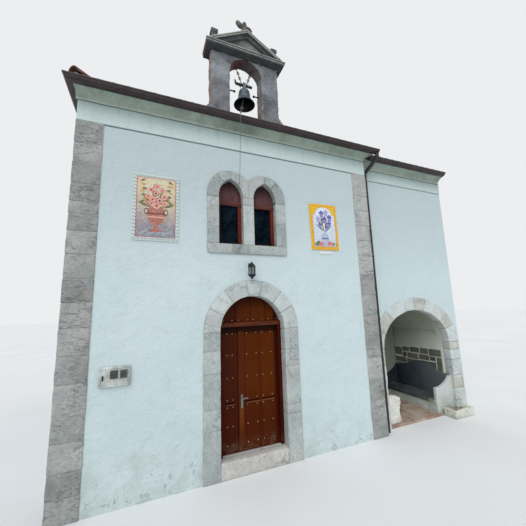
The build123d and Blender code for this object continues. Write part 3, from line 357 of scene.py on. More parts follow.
def frieze(name, foot):
    """Plain band that darkens upwards into the cove in painted shade under the gutter, with a painted shadow line and
    a pale lip under the cove, stained where the gutter drips.
    """
    s = Shader(name, 0.9)
    base, high = foot - 0.345, foot + 0.17
    z = s.add(s.axis(2), s.mul(s.math("SUBTRACT", s.noise(3, 5), 0.5), 0.022))

    def at(h):
        return (h - base) / (high - base)

    # painted shade under the gutter: darker up to the cove's foot, a painted shadow line there, and darker again up
    # the cove
    c = s.ramp(
        s.span(z, base, high),
        (0.0, (204, 218, 218)),
        (at(foot - 0.2), (190, 206, 206)),
        (at(foot - 0.03), (160, 178, 176)),
        (at(foot - 0.014), (88, 106, 102)),
        (at(foot - 0.002), (88, 106, 102)),
        (at(foot + 0.006), (206, 216, 208)),
        (at(foot + 0.018), (176, 190, 178)),
        (at(foot + 0.06), (158, 174, 160)),
        (1.0, (154, 172, 162)),
    )
    cove = s.span(z, foot + 0.01, foot + 0.05)
    blot = s.noise(2.4, 7, 0.66, 0.8)
    c = s.mix(s.mul(cove, s.ramp(blot, (0.44, 0.0), (0.66, 0.65))), c, (122, 126, 110))
    drip = s.noise(1.0, 6, 0.66, 0.3, s.scaled(7, 7, 0.8))
    c = s.mix(s.mul(s.ramp(drip, (0.5, 0.0), (0.72, 0.5)), s.span(z, foot - 0.2, foot + 0.05, 0.3, 1.0)), c,
        (126, 138, 130))
    dark = s.mul(between(s, s.axis(0), -0.5, 0.25, 0.25), cove)
    c = s.mix(s.mul(dark, s.ramp(s.noise(3.2, 3, 0.5), (0.3, 0.25), (0.65, 0.7))), c, (84, 86, 78))
    fine = s.noise(38, 5, 0.7)
    c = s.mix(s.ramp(fine, (0.42, 0.12), (0.58, 0.0)), c, (120, 132, 124))
    hole = s.voronoi(1.9)
    c = s.mix(s.mul(s.ramp(hole, (0.028, 0.8), (0.04, 0.0)), s.math("SUBTRACT", 1.0, cove)), c, (60, 68, 66))
    s.color(c)
    s.bumps((s.noise(1.9, 3, 0.5), 0.03), (s.noise(9, 5, 0.6, 1.2), 0.012), (blot, 0.006), (fine, 0.003))
    return s.mat


def limestone(name, base, spread=16, warm=0.0, crack=1.0, moss=0.15, bedded=False):
    r, g, b = base
    s = Shader(name, 0.86)
    broad = s.noise(2.3, 6, 0.62, 0.4)
    c = s.ramp(
        broad,
        (0.3, (r - spread * 1.3, g - spread * 1.3, b - spread * 1.4)),
        (0.5, (r, g, b)),
        (0.72, (r + spread, g + spread, b + spread * 0.8)),
    )
    spots = s.noise(30, 6, 0.75)
    c = s.mix(s.ramp(spots, (0.42, 0.42), (0.55, 0.0)), c, (r - 42, g - 41, b - 40))
    c = s.blotches(c, (r + 26, g + 25, b + 18), (12, 6, 0.7), (0.56, 0.0), (0.7, 0.5))
    if warm:
        c = s.blotches(c, (r + 8, g - 14, b - 24), (1.7, 4, 0.6), (0.5, 0.0), (0.6, warm))
    if moss:
        c = s.blotches(c, (104, 112, 88), (4.2, 6, 0.7), (0.6, 0.0), (0.72, moss))
    flat = s.scaled(1, 1, 3.4) if bedded else None
    line = s.mul(ridged(s, 2.1, 0.011, vector=flat), s.ramp(s.noise(1.6, 3), (0.45, 0.0), (0.56, crack)))
    hair = s.mul(ridged(s, 6.5, 0.014, 5, 0.8, flat), s.ramp(s.noise(2.9, 3), (0.48, 0.0), (0.6, crack * 0.8)))
    line = s.math("MAXIMUM", line, hair)
    c = s.mix(s.mul(line, 0.8), c, (r - 80, g - 80, b - 78))
    pits = s.ramp(s.voronoi(55), (0.0, 1.0), (0.22, 0.0))
    pits = s.mul(pits, s.ramp(s.noise(6, 3), (0.5, 0.0), (0.62, 1.0)))
    c = s.mix(s.mul(pits, 0.5), c, (r - 70, g - 70, b - 70))
    s.color(c)
    s.bumps(
        (s.noise(6, 5, 0.6), 0.014),
        (spots, 0.005),
        (line, -0.006),
        (pits, -0.003),
        (s.noise(170, 3, 0.6), 0.0008),
    )
    return s.mat


def gable_stone(name):
    """Old render and stone with lichen: warm on its end face, reddish inside the arch."""
    s = Shader(name, 0.9)
    c = s.ramp(
        s.noise(2.2, 6, 0.65, 0.5),
        (0.34, (90, 92, 97)),
        (0.5, (118, 121, 127)),
        (0.66, (144, 147, 152)),
    )
    upper = s.mul(s.span(s.axis(2), 6.75, 7.15), s.ramp(s.noise(1.6, 4, 0.5), (0.42, 0.25), (0.6, 0.9)))
    c = s.mix(upper, c, (152, 158, 162))
    turned_in = s.facing(1, -0.75, -0.35)
    arch = s.mul(between(s, s.axis(0), -0.385, 0.275, 0.006), turned_in)
    red = s.ramp(
        s.span(s.add(s.axis(0), s.mul(s.noise(5, 5), 0.2)), -0.32, 0.3),
        (0.0, (150, 92, 86)),
        (0.4, (98, 74, 72)),
        (0.7, (108, 98, 98)),
        (1.0, (122, 114, 114)),
    )
    red = s.mix(s.span(s.axis(2), 7.0, 6.7), red, (126, 120, 118))
    red = s.mix(s.mul(s.span(s.axis(2), 7.4, 7.5), s.ramp(s.noise(7, 4), (0.4, 0.2), (0.6, 0.7))), red, (58, 46, 46))
    c = s.mix(arch, c, red)
    end = s.mul(s.span(s.axis(0), -0.72, -0.74), s.facing(0, -0.5, -0.8))
    c = s.mix(s.mul(end, 0.75), c, (166, 142, 132))
    streak = s.mul(between(s, s.axis(0), 0.255, 0.30, 0.012), between(s, s.axis(2), 6.3, 6.95, 0.1))
    c = s.mix(s.mul(streak, s.ramp(s.noise(11, 4), (0.4, 0.0), (0.55, 0.7))), c, (182, 170, 160))
    foot = s.mul(s.span(s.axis(2), 6.6, 6.25), s.ramp(s.noise(6, 5, 0.7), (0.42, 0.0), (0.6, 0.5)))
    c = s.mix(foot, c, (156, 146, 136))
    courses = s.noise(1.0, 7, 0.75, 0.3, s.scaled(6, 6, 15))
    rough_zone = s.ramp(s.noise(2.6, 4, 0.6), (0.46, 0.0), (0.56, 1.0))
    c = s.mix(s.mul(rough_zone, s.ramp(courses, (0.5, 0.0), (0.6, 0.45))), c, (84, 86, 90))
    c = s.mix(s.mul(rough_zone, s.ramp(courses, (0.34, 0.5), (0.42, 0.0))), c, (162, 165, 168))
    lichen = s.ramp(s.noise(4.5, 7, 0.7, 0.7), (0.54, 0.0), (0.62, 0.6))
    c = s.mix(lichen, c, (70, 72, 74))
    spots = s.noise(34, 6, 0.75)
    c = s.mix(s.ramp(spots, (0.4, 0.35), (0.52, 0.0)), c, (66, 68, 70))
    s.color(c)
    s.bumps((s.noise(6, 5, 0.6), 0.02), (lichen, -0.005), (spots, 0.006), (s.noise(170, 3, 0.6), 0.0008))
    return s.mat


def cap_stone(name):
    """Dark greenish cornices with moss on top and reddish ends."""
    s = Shader(name, 0.9)
    c = s.ramp(
        s.noise(3.2, 6, 0.65, 0.4),
        (0.32, (54, 57, 60)),
        (0.52, (76, 80, 82)),
        (0.72, (104, 108, 110)),
    )
    c = s.blotches(c, (128, 132, 134), (8, 7, 0.72), (0.55, 0.0), (0.64, 0.6))
    c = s.mix(s.mul(s.facing(2, 0.35, 0.7), 0.7), c, (106, 118, 96))
    ends = s.math("MAXIMUM", s.facing(0, -0.5, -0.8), s.facing(0, 0.5, 0.8))
    ends = s.mul(ends, s.span(s.axis(2), 7.7, 7.66))
    c = s.mix(s.mul(ends, s.ramp(s.noise(5, 5, 0.7), (0.35, 0.4), (0.55, 0.9))), c, (112, 66, 60))
    tympanum = s.mul(s.span(s.axis(1), -0.14, -0.125), s.facing(1, -0.5, -0.8))
    tympanum = s.mul(tympanum, s.mul(s.span(s.axis(2), 7.66, 7.68), s.span(s.axis(2), 8.0, 7.85)))
    c = s.mix(s.mul(tympanum, 0.9), c, s.ramp(s.noise(5, 6, 0.7, 0.4), (0.4, (104, 100, 100)),
        (0.6, (148, 144, 144))))
    # painted shade on the faces that look down
    c = s.mix(s.mul(s.facing(2, -0.5, -0.8), 0.6), c, (62, 70, 68))
    c = s.mix(s.mul(s.span(s.axis(2), 8.14, 8.2), 0.7), c, s.ramp(s.noise(9, 6, 0.7), (0.4, (88, 80, 74)),
        (0.6, (128, 122, 112))))
    spots = s.noise(40, 6, 0.75)
    c = s.mix(s.ramp(spots, (0.4, 0.6), (0.52, 0.0)), c, (44, 48, 48))
    s.color(c)
    s.bumps((s.noise(7, 5, 0.6), 0.014), (spots, 0.006), (s.noise(170, 3, 0.6), 0.0008))
    return s.mat


def wood(name, base, grey_foot=None, along=2, gloss=0.42, shine=0.1, tones=None):
    r, g, b = base
    s = Shader(name, gloss)
    s.bsdf.inputs["Specular IOR Level"].default_value = shine
    k = [34, 34, 34]
    k[along] = 1.6
    grain = s.noise(1.0, 7, 0.62, 1.4, s.scaled(*k))
    k[along] = 5
    pores = s.noise(4.0, 4, 0.6, 0.2, s.scaled(*k))
    broad = s.noise(2.4, 4, 0.55)
    c = s.ramp(
        grain,
        (0.3, (r * 0.8, g * 0.74, b * 0.7)),
        (0.5, (r, g, b)),
        (0.72, (min(255, r * 1.16), g * 1.18, b * 1.15)),
    )
    c = s.mix(s.ramp(broad, (0.42, 0.35), (0.6, 0.0)), c, (r * 0.65, g * 0.6, b * 0.6))
    c = s.mix(s.ramp(pores, (0.36, 0.3), (0.46, 0.0)), c, (r * 0.55, g * 0.5, b * 0.5))
    if tones:
        c = tones(s, c)
    rough = s.ramp(grain, (0.3, gloss + 0.12), (0.7, gloss - 0.06))
    if grey_foot:
        top, full = grey_foot
        worn = s.mul(s.span(s.axis(2), top, full), s.ramp(s.noise(9, 7, 0.75, 0.6), (0.42, 0.0), (0.64, 0.7)))
        c = s.mix(worn, c, (104, 84, 70))
        rough = s.mix(worn, rough, (0.85, 0.85, 0.85, 1.0))
    s.color(c)
    s.roughness(rough)
    s.bumps((grain, 0.0016), (pores, 0.0008), (broad, 0.004))
    return s.mat


def door_boards_and_shadows(s, c):
    """Boards of different browns, darker in the lower panels, with painted shadow under the transom and painted shade
    darkening up to the head of the arch.
    """
    x = s.axis(0)
    for x0, x1, tone, much in (
        (-0.53, -0.24, (60, 22, 14), 0.7), (-0.11, 0.172, (84, 36, 4), 0.7), (0.178, 0.46, (90, 40, 2), 0.7),
        (0.46, 0.53, (48, 10, 8), 0.8),
    ):
        c = s.mix(s.mul(between(s, x, x0, x1, 0.002), much), c, tone)
    c = s.mix(s.mul(s.span(s.axis(2), 1.25, 0.85), 0.5), c, (66, 18, 4))
    # painted shadow under the transom, then painted shade up to the head of the arch
    c = s.mix(s.mul(between(s, s.axis(2), 2.19, 2.32, 0.03), 0.85), c, (18, 8, 6))
    return s.mix(s.span(s.axis(2), 2.6, 2.84, 0.0, 0.75), c, (22, 8, 6))


def stile_tones(s, c):
    """The wide leaf's stile is dark but for a lit strip below the handle."""
    lit = s.mul(between(s, s.axis(0), -0.214, -0.148, 0.005), between(s, s.axis(2), 0.6, 1.06, 0.12))
    dark = s.mix(0.85, c, (74, 28, 12))
    return s.mix(s.mul(lit, 0.75), dark, c)


def window_painted_shade(s, c):
    """The left stile and the foot of each light lie in deep painted shadow, and the pointed heads darken upwards in
    painted shade under the stone heads.
    """
    foot = s.span(s.axis(2), 3.85, 3.82)
    left = s.math("MAXIMUM", between(s, s.axis(0), -0.62, -0.52, 0.002), between(s, s.axis(0), 0.03, 0.14, 0.002))
    left = s.mul(left, s.span(s.axis(2), 4.51, 4.49))
    # painted shadow on the left stiles and the feet, then painted shade in the heads
    c = s.mix(s.mul(s.math("MAXIMUM", foot, left), 0.85), c, (10, 10, 14))
    return s.mix(s.span(s.axis(2), 4.7, 4.88, 0.0, 0.85), c, (52, 38, 40))


def metal(name, base, roughness, metallic, rust):
    r, g, b = base
    s = Shader(name, roughness, metallic)
    broad = s.noise(5, 5, 0.6)
    c = s.ramp(broad, (0.35, (r * 0.75, g * 0.75, b * 0.75)), (0.7, (r * 1.15, g * 1.15, b * 1.15)))
    spots = s.noise(60, 5, 0.7)
    if rust:
        c = s.blotches(c, (96, 62, 44), (16, 6, 0.7), (0.52, 0.0), (0.66, rust))
    c = s.mix(s.ramp(spots, (0.4, 0.4), (0.52, 0.0)), c, (r * 0.6, g * 0.6, b * 0.6))
    s.color(c)
    s.roughness(s.ramp(spots, (0.35, min(1.0, roughness + 0.15)), (0.65, max(0.1, roughness - 0.1))))
    s.bumps((s.noise(14, 4, 0.5), 0.002), (spots, 0.0008))
    return s.mat


def bell_bronze(name):
    """Blue-grey skin outside, near black inside: the wall's own depth tells which side it is."""
    s = Shader(name, 0.5, 0.35)
    radius = s.nt.nodes.new("ShaderNodeVectorMath")
    radius.operation = "LENGTH"
    flat = s.nt.nodes.new("ShaderNodeVectorMath")
    flat.operation = "MULTIPLY_ADD"
    s.nt.links.new(s.co, flat.inputs[0])
    flat.inputs[1].default_value = (1, 1, 0)
    flat.inputs[2].default_value = (0.055, -0.0675, 0)
    s.nt.links.new(flat.outputs[0], radius.inputs[0])
    shell = s.ramp(
        s.span(s.axis(2), 6.648, 6.978),
        (0.0, 0.203),
        (0.26, 0.144),
        (0.62, 0.107),
        (0.88, 0.092),
        (1.0, 0.02),
    )
    inside = s.math("LESS_THAN", radius.outputs["Value"], shell)
    c = s.ramp(s.noise(7, 6, 0.65), (0.35, (62, 70, 80)), (0.65, (104, 112, 122)))
    c = s.blotches(c, (50, 54, 58), (22, 6, 0.7), (0.52, 0.0), (0.62, 0.6))
    c = s.mix(inside, c, (12, 14, 18))
    s.color(c)
    s.roughness(s.ramp(s.noise(40, 4), (0.35, 0.62), (0.65, 0.42)))
    s.bumps((s.noise(14, 4, 0.5), 0.002), (s.noise(60, 4, 0.6), 0.0008))
    return s.mat


def clay(name, base):
    r, g, b = base
    s = Shader(name, 0.9)
    c = s.ramp(
        s.noise(6, 6, 0.65),
        (0.3, (r - 34, g - 28, b - 22)),
        (0.52, (r, g, b)),
        (0.74, (r + 26, g + 22, b + 18)),
    )
    lichen = s.ramp(s.noise(14, 7, 0.75), (0.52, 0.0), (0.63, 0.8))
    c = s.mix(lichen, c, (122, 120, 100))
    c = s.blotches(c, (r - 60, g - 45, b - 34), (42, 5, 0.7), (0.4, 0.5), (0.52, 0.0))
    s.color(c)
    s.bumps((s.noise(24, 5, 0.6), 0.003), (s.noise(160, 3, 0.6), 0.0008), (lichen, 0.0015))
    return s.mat


def paving(name, base, size, joint):
    r, g, b = base
    s = Shader(name, 0.85)
    cells = s.nt.nodes.new("ShaderNodeTexBrick")
    s.nt.links.new(s.co, cells.inputs["Vector"])
    cells.offset = 0.0
    cells.inputs["Color1"].default_value = srgb(r, g, b)
    cells.inputs["Color2"].default_value = srgb(r - 24, g - 20, b - 16)
    cells.inputs["Mortar"].default_value = srgb(150, 140, 126)
    cells.inputs["Scale"].default_value = 1.0
    cells.inputs["Mortar Size"].default_value = joint
    cells.inputs["Brick Width"].default_value = size
    cells.inputs["Row Height"].default_value = size
    c = s.mix(s.ramp(s.noise(7, 6, 0.7), (0.42, 0.6), (0.6, 0.0)), cells.outputs["Color"], (r - 50, g - 40, b - 30))
    c = s.blotches(c, (186, 176, 160), (3, 5, 0.6), (0.4, 0.1), (0.6, 0.8))
    s.color(c)
    s.bumps((cells.outputs["Fac"], -0.003), (s.noise(20, 5, 0.6), 0.002))
    return s.mat


def glaze(name, colours):
    """Painted and glazed tile: brush-like patches of a few colours."""
    s = Shader(name, 0.22)
    s.bsdf.inputs["Specular IOR Level"].default_value = 0.35
    last = len(colours) - 1
    c = s.ramp(s.noise(22, 5, 0.6, 1.6), *[(0.34 + 0.32 * i / last, k) for i, k in enumerate(colours)])
    s.color(s.mix(s.ramp(s.noise(55, 5, 0.7), (0.4, 0.25), (0.55, 0.0)), c, tuple(k * 0.7 for k in colours[0])))
    return s.mat


M = {}
M["wall"] = wall_render("wall_render")
M["bay"] = wall_render("bay_render", True)
M["frieze"] = frieze("frieze_render", 5.93)
M["bay_frieze"] = frieze("bay_frieze_render", 5.865)
M["niche"] = niche_render("niche_render")
M["bench"] = bench_render("bench_render")
M["block"] = masonry("block_render")
for i, tone in enumerate((160, 170, 180, 190, 200, 208), 1):
    M[f"stone{i}"] = limestone(f"limestone_{i}", (tone, tone + 8, tone + 7), 15, 0.15 if i > 2 else 0.0, 0.75, 0.12)
for i, tone in enumerate((146, 156, 164, 176)):
    M[f"quoin{i}"] = limestone(f"quoin_stone_{i}", (tone + 3, tone + 6, tone + 4), 17, 0.12, 0.9, 0.25, True)
M["ring"] = limestone("ring_stone", (200, 202, 195), 14, 0.22, moss=0.25)
M["step"] = limestone("step_stone", (200, 198, 194), 14, 0.2, moss=0.2)
M["joint"] = limestone("joint_mortar", (168, 172, 168), 12, crack=0.3, moss=0.1)
M["gable"] = gable_stone("gable_stone")
M["cap"] = cap_stone("cap_stone")
M["fillet"] = limestone("fillet_stone", (178, 182, 176), 22, crack=0.8, moss=0.2)
M["dado0"] = limestone("dado_stone_0", (104, 107, 97), 18, 0.0, 0.6, 0.1)
M["dado1"] = limestone("dado_stone_1", (90, 96, 92), 16, 0.0, 0.6, 0.1)
M["point"] = lime_render("white_pointing", (216, 218, 204), (204, 206, 192), (180, 184, 172), 0.0, 0.0)
M["slate"] = slate_slab("slate_slab")
M["door"] = wood("door_wood", (86, 34, 8), (0.5, 0.26), shine=0.05, tones=door_boards_and_shadows)
M["door_pale"] = wood("door_stile_wood", (118, 62, 16), (0.5, 0.26), shine=0.05, tones=stile_tones)
M["frame"] = wood("frame_wood", (70, 20, 10), (0.5, 0.26), shine=0.05)
# lighter wood of the beads on the middle rails: a painted highlight
M["rail"] = wood("bead_highlight_wood", (122, 66, 34), None, 0, shine=0.2)
M["transom"] = wood("transom_wood", (88, 44, 26), None, 0, shine=0.12)
# dark wood for the joints between boards and for painted shadow lines
M["groove_and_shadow"] = wood("groove_and_shadow_wood", (20, 9, 7), None, 2, 0.8, 0.02)
M["window"] = wood("window_wood", (94, 64, 66), None, 2, 0.6, 0.05, window_painted_shade)
M["window_stile"] = wood("window_stile_wood", (112, 48, 38), None, 2, 0.5, 0.05)
M["window_rail"] = wood("window_rail_wood", (96, 56, 54), None, 0, 0.5, 0.1)
M["bronze"] = bell_bronze("old_bronze")
M["tile"] = clay("roof_clay", (146, 92, 68))
M["tile_b"] = clay("roof_clay_dark", (120, 80, 64))
M["tile_c"] = clay("roof_clay_pale", (164, 114, 88))
M["bed"] = limestone("ridge_mortar", (150, 146, 136), 16, 0.1, 0.3, 0.4)
M["boards"] = wood("roof_boards", (112, 84, 60), None, 0, 0.8, 0.2)
M["floor"] = paving("floor_terracotta", (168, 128, 108), 0.3, 0.012)
for key, (name, base, roughness, metallic, rust) in {
    "gutter": ("gutter_paint", (54, 40, 44), 0.5, 0.0, 0.1),
    "pipe": ("pipe_paint", (40, 38, 40), 0.55, 0.0, 0.1),
    "iron": ("black_iron", (38, 40, 44), 0.6, 0.4, 0.3),
    "pale_iron": ("worn_iron", (150, 150, 148), 0.55, 0.2, 0.25),
    "lamp": ("lamp_paint", (16, 26, 30), 0.4, 0.1, 0.05),
    "lamp_glass": ("lamp_glass", (108, 122, 124), 0.15, 0.0, 0.0),
    "steel": ("brushed_steel", (128, 132, 120), 0.4, 0.5, 0.0),
    "stud": ("stud_metal", (208, 186, 150), 0.4, 0.5, 0.0),
    "meter": ("meter_plastic", (194, 200, 194), 0.6, 0.0, 0.0),
    "meter_rim": ("meter_rim_plastic", (204, 212, 210), 0.5, 0.0, 0.0),
    "meter_dark": ("meter_window", (70, 76, 68), 0.3, 0.0, 0.0),
    "meter_pale": ("meter_window_pale", (100, 104, 92), 0.3, 0.0, 0.0),
    "meter_slot": ("meter_slot", (22, 28, 30), 0.6, 0.0, 0.0),
}.items():
    M[key] = metal(name, base, roughness, metallic, rust)


def glass():
    s = Shader("window_glass", 0.12)
    s.color(s.ramp(s.noise(5, 6, 0.65, 0.8), (0.45, (2, 8, 18)), (0.72, (24, 36, 48))))
    s.bsdf.inputs["Specular IOR Level"].default_value = 0.02
    s.bumps((s.noise(2.5, 2, 0.5), 0.002),)
    return s.mat


M["glass"] = glass()


def rope_fibre():
    s = Shader("rope_fibre", 0.9)
    s.color(s.ramp(s.noise(90, 4, 0.6), (0.35, (84, 86, 86)), (0.65, (136, 136, 130))))
    s.bumps((s.noise(160, 3, 0.6), 0.001),)
    return s.mat


M["rope"] = rope_fibre()


def paint_node(name, material):
    """The CAD node keeps its shape and gets this material."""
    ob = nodes[name]
    ob.data.materials.clear()
    ob.data.materials.append(M[material])


for names, material in (
    ("front_wall_left front_wall_right front_wall_over_door front_wall_windows side_walls back_wall", "wall"),
    ("gable_wall", "wall"),
    ("bay_front_wall bay_walls", "bay"),
    ("cornice", "frieze"),
    ("bay_cornice", "bay_frieze"),
    ("niche_vault", "niche"),
    ("bench bench_arms", "bench"),
    ("quoins door_surround door_threshold window_surround niche_arch", "joint"),
    ("downpipe", "pipe"),
    ("door_leaf_left door_leaf_right door_tympanum", "door"),
    ("door_frame", "frame"),
    ("door_handle", "steel"),
    ("window_frames", "window"),
    ("window_glass", "glass"),
    ("bell_irons", "iron"),
    ("clapper", "pale_iron"),
    ("bell", "bronze"),
    ("bench_back", "slate"),
    ("floor niche_floor", "floor"),
):
    for node_name in names.split():
        paint_node(node_name, material)


# ---------------------------------------------------------------- mesh tools
class Bag:
    """Collects many small solids into one mesh."""

    def __init__(self):
        self.v, self.f, self.m = [], [], []

    def add(self, verts, faces, mat=0):
        base = len(self.v)
        self.v.extend(verts)
        self.f.extend(tuple(base + i for i in f) for f in faces)
        self.m.extend([mat] * len(faces))

    def make(self, name, materials, slot, body=BUILDING, smooth=True):
        me = bpy.data.meshes.new(name)
        me.from_pydata([(p[0], p[1], max(p[2], 0.0)) for p in self.v], [], self.f)
        for m in materials:
            me.materials.append(M[m])
        me.polygons.foreach_set("material_index", self.m)
        bm = bmesh.new()
        bm.from_mesh(me)
        bmesh.ops.recalc_face_normals(bm, faces=bm.faces)
        bm.to_mesh(me)
        bm.free()
        me.polygons.foreach_set("use_smooth", [smooth] * len(me.polygons))
        if smooth:
            me.set_sharp_from_angle(angle=math.radians(40))
        ob = bpy.data.objects.new(name, me)
        bpy.context.scene.collection.objects.link(ob)
        if body:
            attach(ob, body)
        return ob


X_AXIS, Y_AXIS = Vector((1, 0, 0)), Vector((0, 1, 0))


def rect(x0, x1, z0, z1):
    return [(x0, z0), (x1, z0), (x1, z1), (x0, z1)]


def circle(centre, u, w, radius, sides):
    """Points round a centre, from u towards w."""
    angles = [2 * math.pi * j / sides for j in range(sides)]
    return [centre + (u * math.cos(a) + w * math.sin(a)) * radius for a in angles]


def tube(rings, sides):
    """Faces of a tube through rings of points."""
    faces = []
    for i in range(rings - 1):
        for j in range(sides):
            k = (j + 1) % sides
            faces.append((i * sides + j, i * sides + k, (i + 1) * sides + k, (i + 1) * sides + j))
    return faces


def hoop(sides, seg):
    """Faces of a closed ring whose section has seg points."""
    faces = []
    for j in range(sides):
        for q in range(seg):
            j2, q2 = (j + 1) % sides, (q + 1) % seg
            faces.append((j * seg + q, j2 * seg + q, j2 * seg + q2, j * seg + q2))
    return faces


def trough(seg):
    """Faces of a half-round tile: outer and inner arc at one end, then both at the other."""
    w = seg + 1
    faces = []
    for q in range(seg):
        for lo, hi in ((0, 2 * w), (w, 3 * w)):
            faces.append((lo + q, lo + q + 1, hi + q + 1, hi + q))
        for end in (0, 2 * w):
            faces.append((end + q, end + q + 1, end + w + q + 1, end + w + q))
    for q in (0, seg):
        faces.append((q, w + q, 3 * w + q, 2 * w + q))
    return faces


def courses(joints, gap=0.004):
    """(number, foot, top) of each stone between level joints."""
    return [(i, a + gap, b - gap) for i, (a, b) in enumerate(zip(joints, joints[1:]))]


def steps(length, step, r):
    inner = max(1, round((length - 2 * r) / step))
    mid = [r + (length - 2 * r) * i / inner for i in range(1, inner)]
    return [0, 0.35 * r, r, *mid, length - r, length - 0.35 * r, length]


def stone(bag, size, place, step=0.06, r=0.012, rough=0.003, mat=0, seed=0.0):
    """A rounded, uneven block. place() turns its own u, v, w into the part's frame."""
    ranges = [steps(s, step, min(r, s * 0.3)) for s in size]
    n = [len(a) for a in ranges]
    index, verts, faces = {}, [], []
    offset = Vector((seed * 3.1, seed * 1.7, seed * 2.3))

    def vert(i, j, k):
        key = (i, j, k)
        if key not in index:
            p = Vector((ranges[0][i], ranges[1][j], ranges[2][k]))
            rr = [min(r, s * 0.3) for s in size]
            q = Vector([min(max(p[a], rr[a]), size[a] - rr[a]) for a in range(3)])
            d = p - q
            d.normalize()
            bump = noise.fractal((p + offset) * 9, 1.0, 2.0, 4) * rough
            bump += noise.noise((p + offset) * 3) * rough
            p = q + Vector([d[a] * (rr[a] + bump) for a in range(3)])
            index[key] = len(verts)
            verts.append(place(p))
        return index[key]

    for axis in range(3):
        a, b = [x for x in range(3) if x != axis]
        for end in (0, n[axis] - 1):
            for i in range(n[a] - 1):
                for j in range(n[b] - 1):
                    quad = []
                    for di, dj in ((0, 0), (1, 0), (1, 1), (0, 1)):
                        key = [0, 0, 0]
                        key[axis], key[a], key[b] = end, i + di, j + dj
                        quad.append(vert(*key))
                    faces.append(quad)
    bag.add(verts, faces, mat)


def block_at(x0, x1, y0, y1, z0, z1, tilt=0.0):
    """(size, place) of a straight block; tilt leans its level joints, in metres over its width."""

    def place(p):
        return (x0 + p[0], y0 + p[1], z0 + p[2] + tilt * (p[0] / (x1 - x0) - 0.5))

    return (x1 - x0, y1 - y0, z1 - z0), place


def wedge(inner, outer, a0, a1, y0, y1):
    """(size, place) of an arch stone between two curves of the angle, from a0 to a1 degrees."""
    a0, a1 = math.radians(a0), math.radians(a1)
    am = (a0 + a1) / 2
    long = (Vector(outer(a0)) - Vector(outer(a1))).length
    deep = (Vector(outer(am)) - Vector(inner(am))).length

    def place(p):
        a = a0 + (a1 - a0) * p[0] / long
        q = Vector(inner(a)).lerp(Vector(outer(a)), p[1] / deep)
        return (q.x, y0 + p[2], q.y)

    return (long, deep, y1 - y0), place


def slab(bag, outline, y0, y1, mat=0, bevel=0.004, plane="xz", segments=2):
    """A flat piece with bevelled edges from its outline, upright along the front (xz) or across it (yz)."""
    bm = bmesh.new()

    def at(p, d):
        return (p[0], d, p[1]) if plane == "xz" else (d, p[0], p[1])

    face = bm.faces.new([bm.verts.new(at(p, y0)) for p in outline])
    ret = bmesh.ops.extrude_face_region(bm, geom=[face])
    for v in ret["geom"]:
        if isinstance(v, bmesh.types.BMVert):
            v.co[1 if plane == "xz" else 0] = y1
    bmesh.ops.recalc_face_normals(bm, faces=bm.faces)
    if bevel:
        bmesh.ops.bevel(bm, geom=list(bm.edges), offset=bevel, segments=segments, affect="EDGES", clamp_overlap=True)
    bm.verts.index_update()
    bag.add([v.co.copy() for v in bm.verts], [[v.index for v in f.verts] for f in bm.faces], mat)
    bm.free()


def dome(bag, centre, radius, height, rings=3, sides=10):
    """A nail head that faces forwards."""
    d = Vector((0, -1, 0))
    u = d.orthogonal().normalized()
    w = d.cross(u)
    c = Vector(centre)
    verts = []
    for i in range(rings):
        t = i / rings * math.pi / 2
        verts += circle(c + d * height * math.sin(t), u, w, radius * math.cos(t), sides)
    verts.append(c + d * height)
    last = (rings - 1) * sides
    faces = tube(rings, sides)
    faces += [(last + j, last + (j + 1) % sides, len(verts) - 1) for j in range(sides)]
    faces.append([sides - 1 - j for j in range(sides)])
    bag.add(verts, faces)


def swept(bag, path, profile, mat=0):
    """Profile points (outward, z) carried along a level path with mitred corners; outward is to the right."""
    pts = [Vector((p[0], p[1])) for p in path]
    rings = []
    for i, p in enumerate(pts):
        d1 = (p - pts[i - 1]).normalized() if i else (pts[1] - p).normalized()
        d2 = (pts[i + 1] - p).normalized() if i < len(pts) - 1 else d1
        n1, n2 = Vector((d1.y, -d1.x)), Vector((d2.y, -d2.x))
        m = (n1 + n2) / (1 + n1.dot(n2))
        rings.append([(p.x + m.x * o, p.y + m.y * o, z) for o, z in profile])
    k = len(profile)
    verts = [v for ring in rings for v in ring]
    faces = []
    for i in range(len(rings) - 1):
        for j in range(k):
            j2 = (j + 1) % k
            faces.append((i * k + j, (i + 1) * k + j, (i + 1) * k + j2, i * k + j2))
    faces += [list(range(k)), [len(verts) - 1 - j for j in range(k)]]
    bag.add(verts, faces, mat)


def weathered(node, name, voxel, amount, material, smooth=2, edge=0.0, mesh=None):
    """Stands for a CAD node: the same mass with worn edges and an uneven face."""
    src = nodes[node]
    ob = bpy.data.objects.new(name, mesh or src.data.copy())
    bpy.context.scene.collection.objects.link(ob)
    mod = ob.modifiers.new("voxels", "REMESH")
    mod.mode = "VOXEL"
    mod.voxel_size = voxel
    if smooth:
        soft = ob.modifiers.new("soft", "SMOOTH")
        soft.factor = 0.5
        soft.iterations = smooth
    graph = bpy.context.evaluated_depsgraph_get()
    me = bpy.data.meshes.new_from_object(ob.evaluated_get(graph), depsgraph=graph)
    ob.modifiers.clear()
    ob.data = me
    co, normals = np.empty(len(me.vertices) * 3), np.empty(len(me.vertices) * 3)
    me.vertices.foreach_get("co", co)
    me.vertices.foreach_get("normal", normals)
    co, normals = co.reshape(-1, 3), normals.reshape(-1, 3)
    for i, p in enumerate(co):
        p = Vector(p)
        k = noise.fractal(p * 5, 1.0, 2.1, 5) * amount + noise.noise(p * 22) * amount * 0.35 - amount * 0.5 - edge
        co[i] += normals[i] * k
    co[:, 2] = np.maximum(co[:, 2], 0.0)
    me.vertices.foreach_set("co", co.ravel())
    me.update()
    me.materials.clear()
    me.materials.append(M[material])
    me.polygons.foreach_set("use_smooth", [True] * len(me.polygons))
    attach(ob, BUILDING)
    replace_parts(ob, node)
    return ob


# ---------------------------------------------------------------- corner stones
QUOIN_IN, QUOIN_OUT = 2.452, 2.842


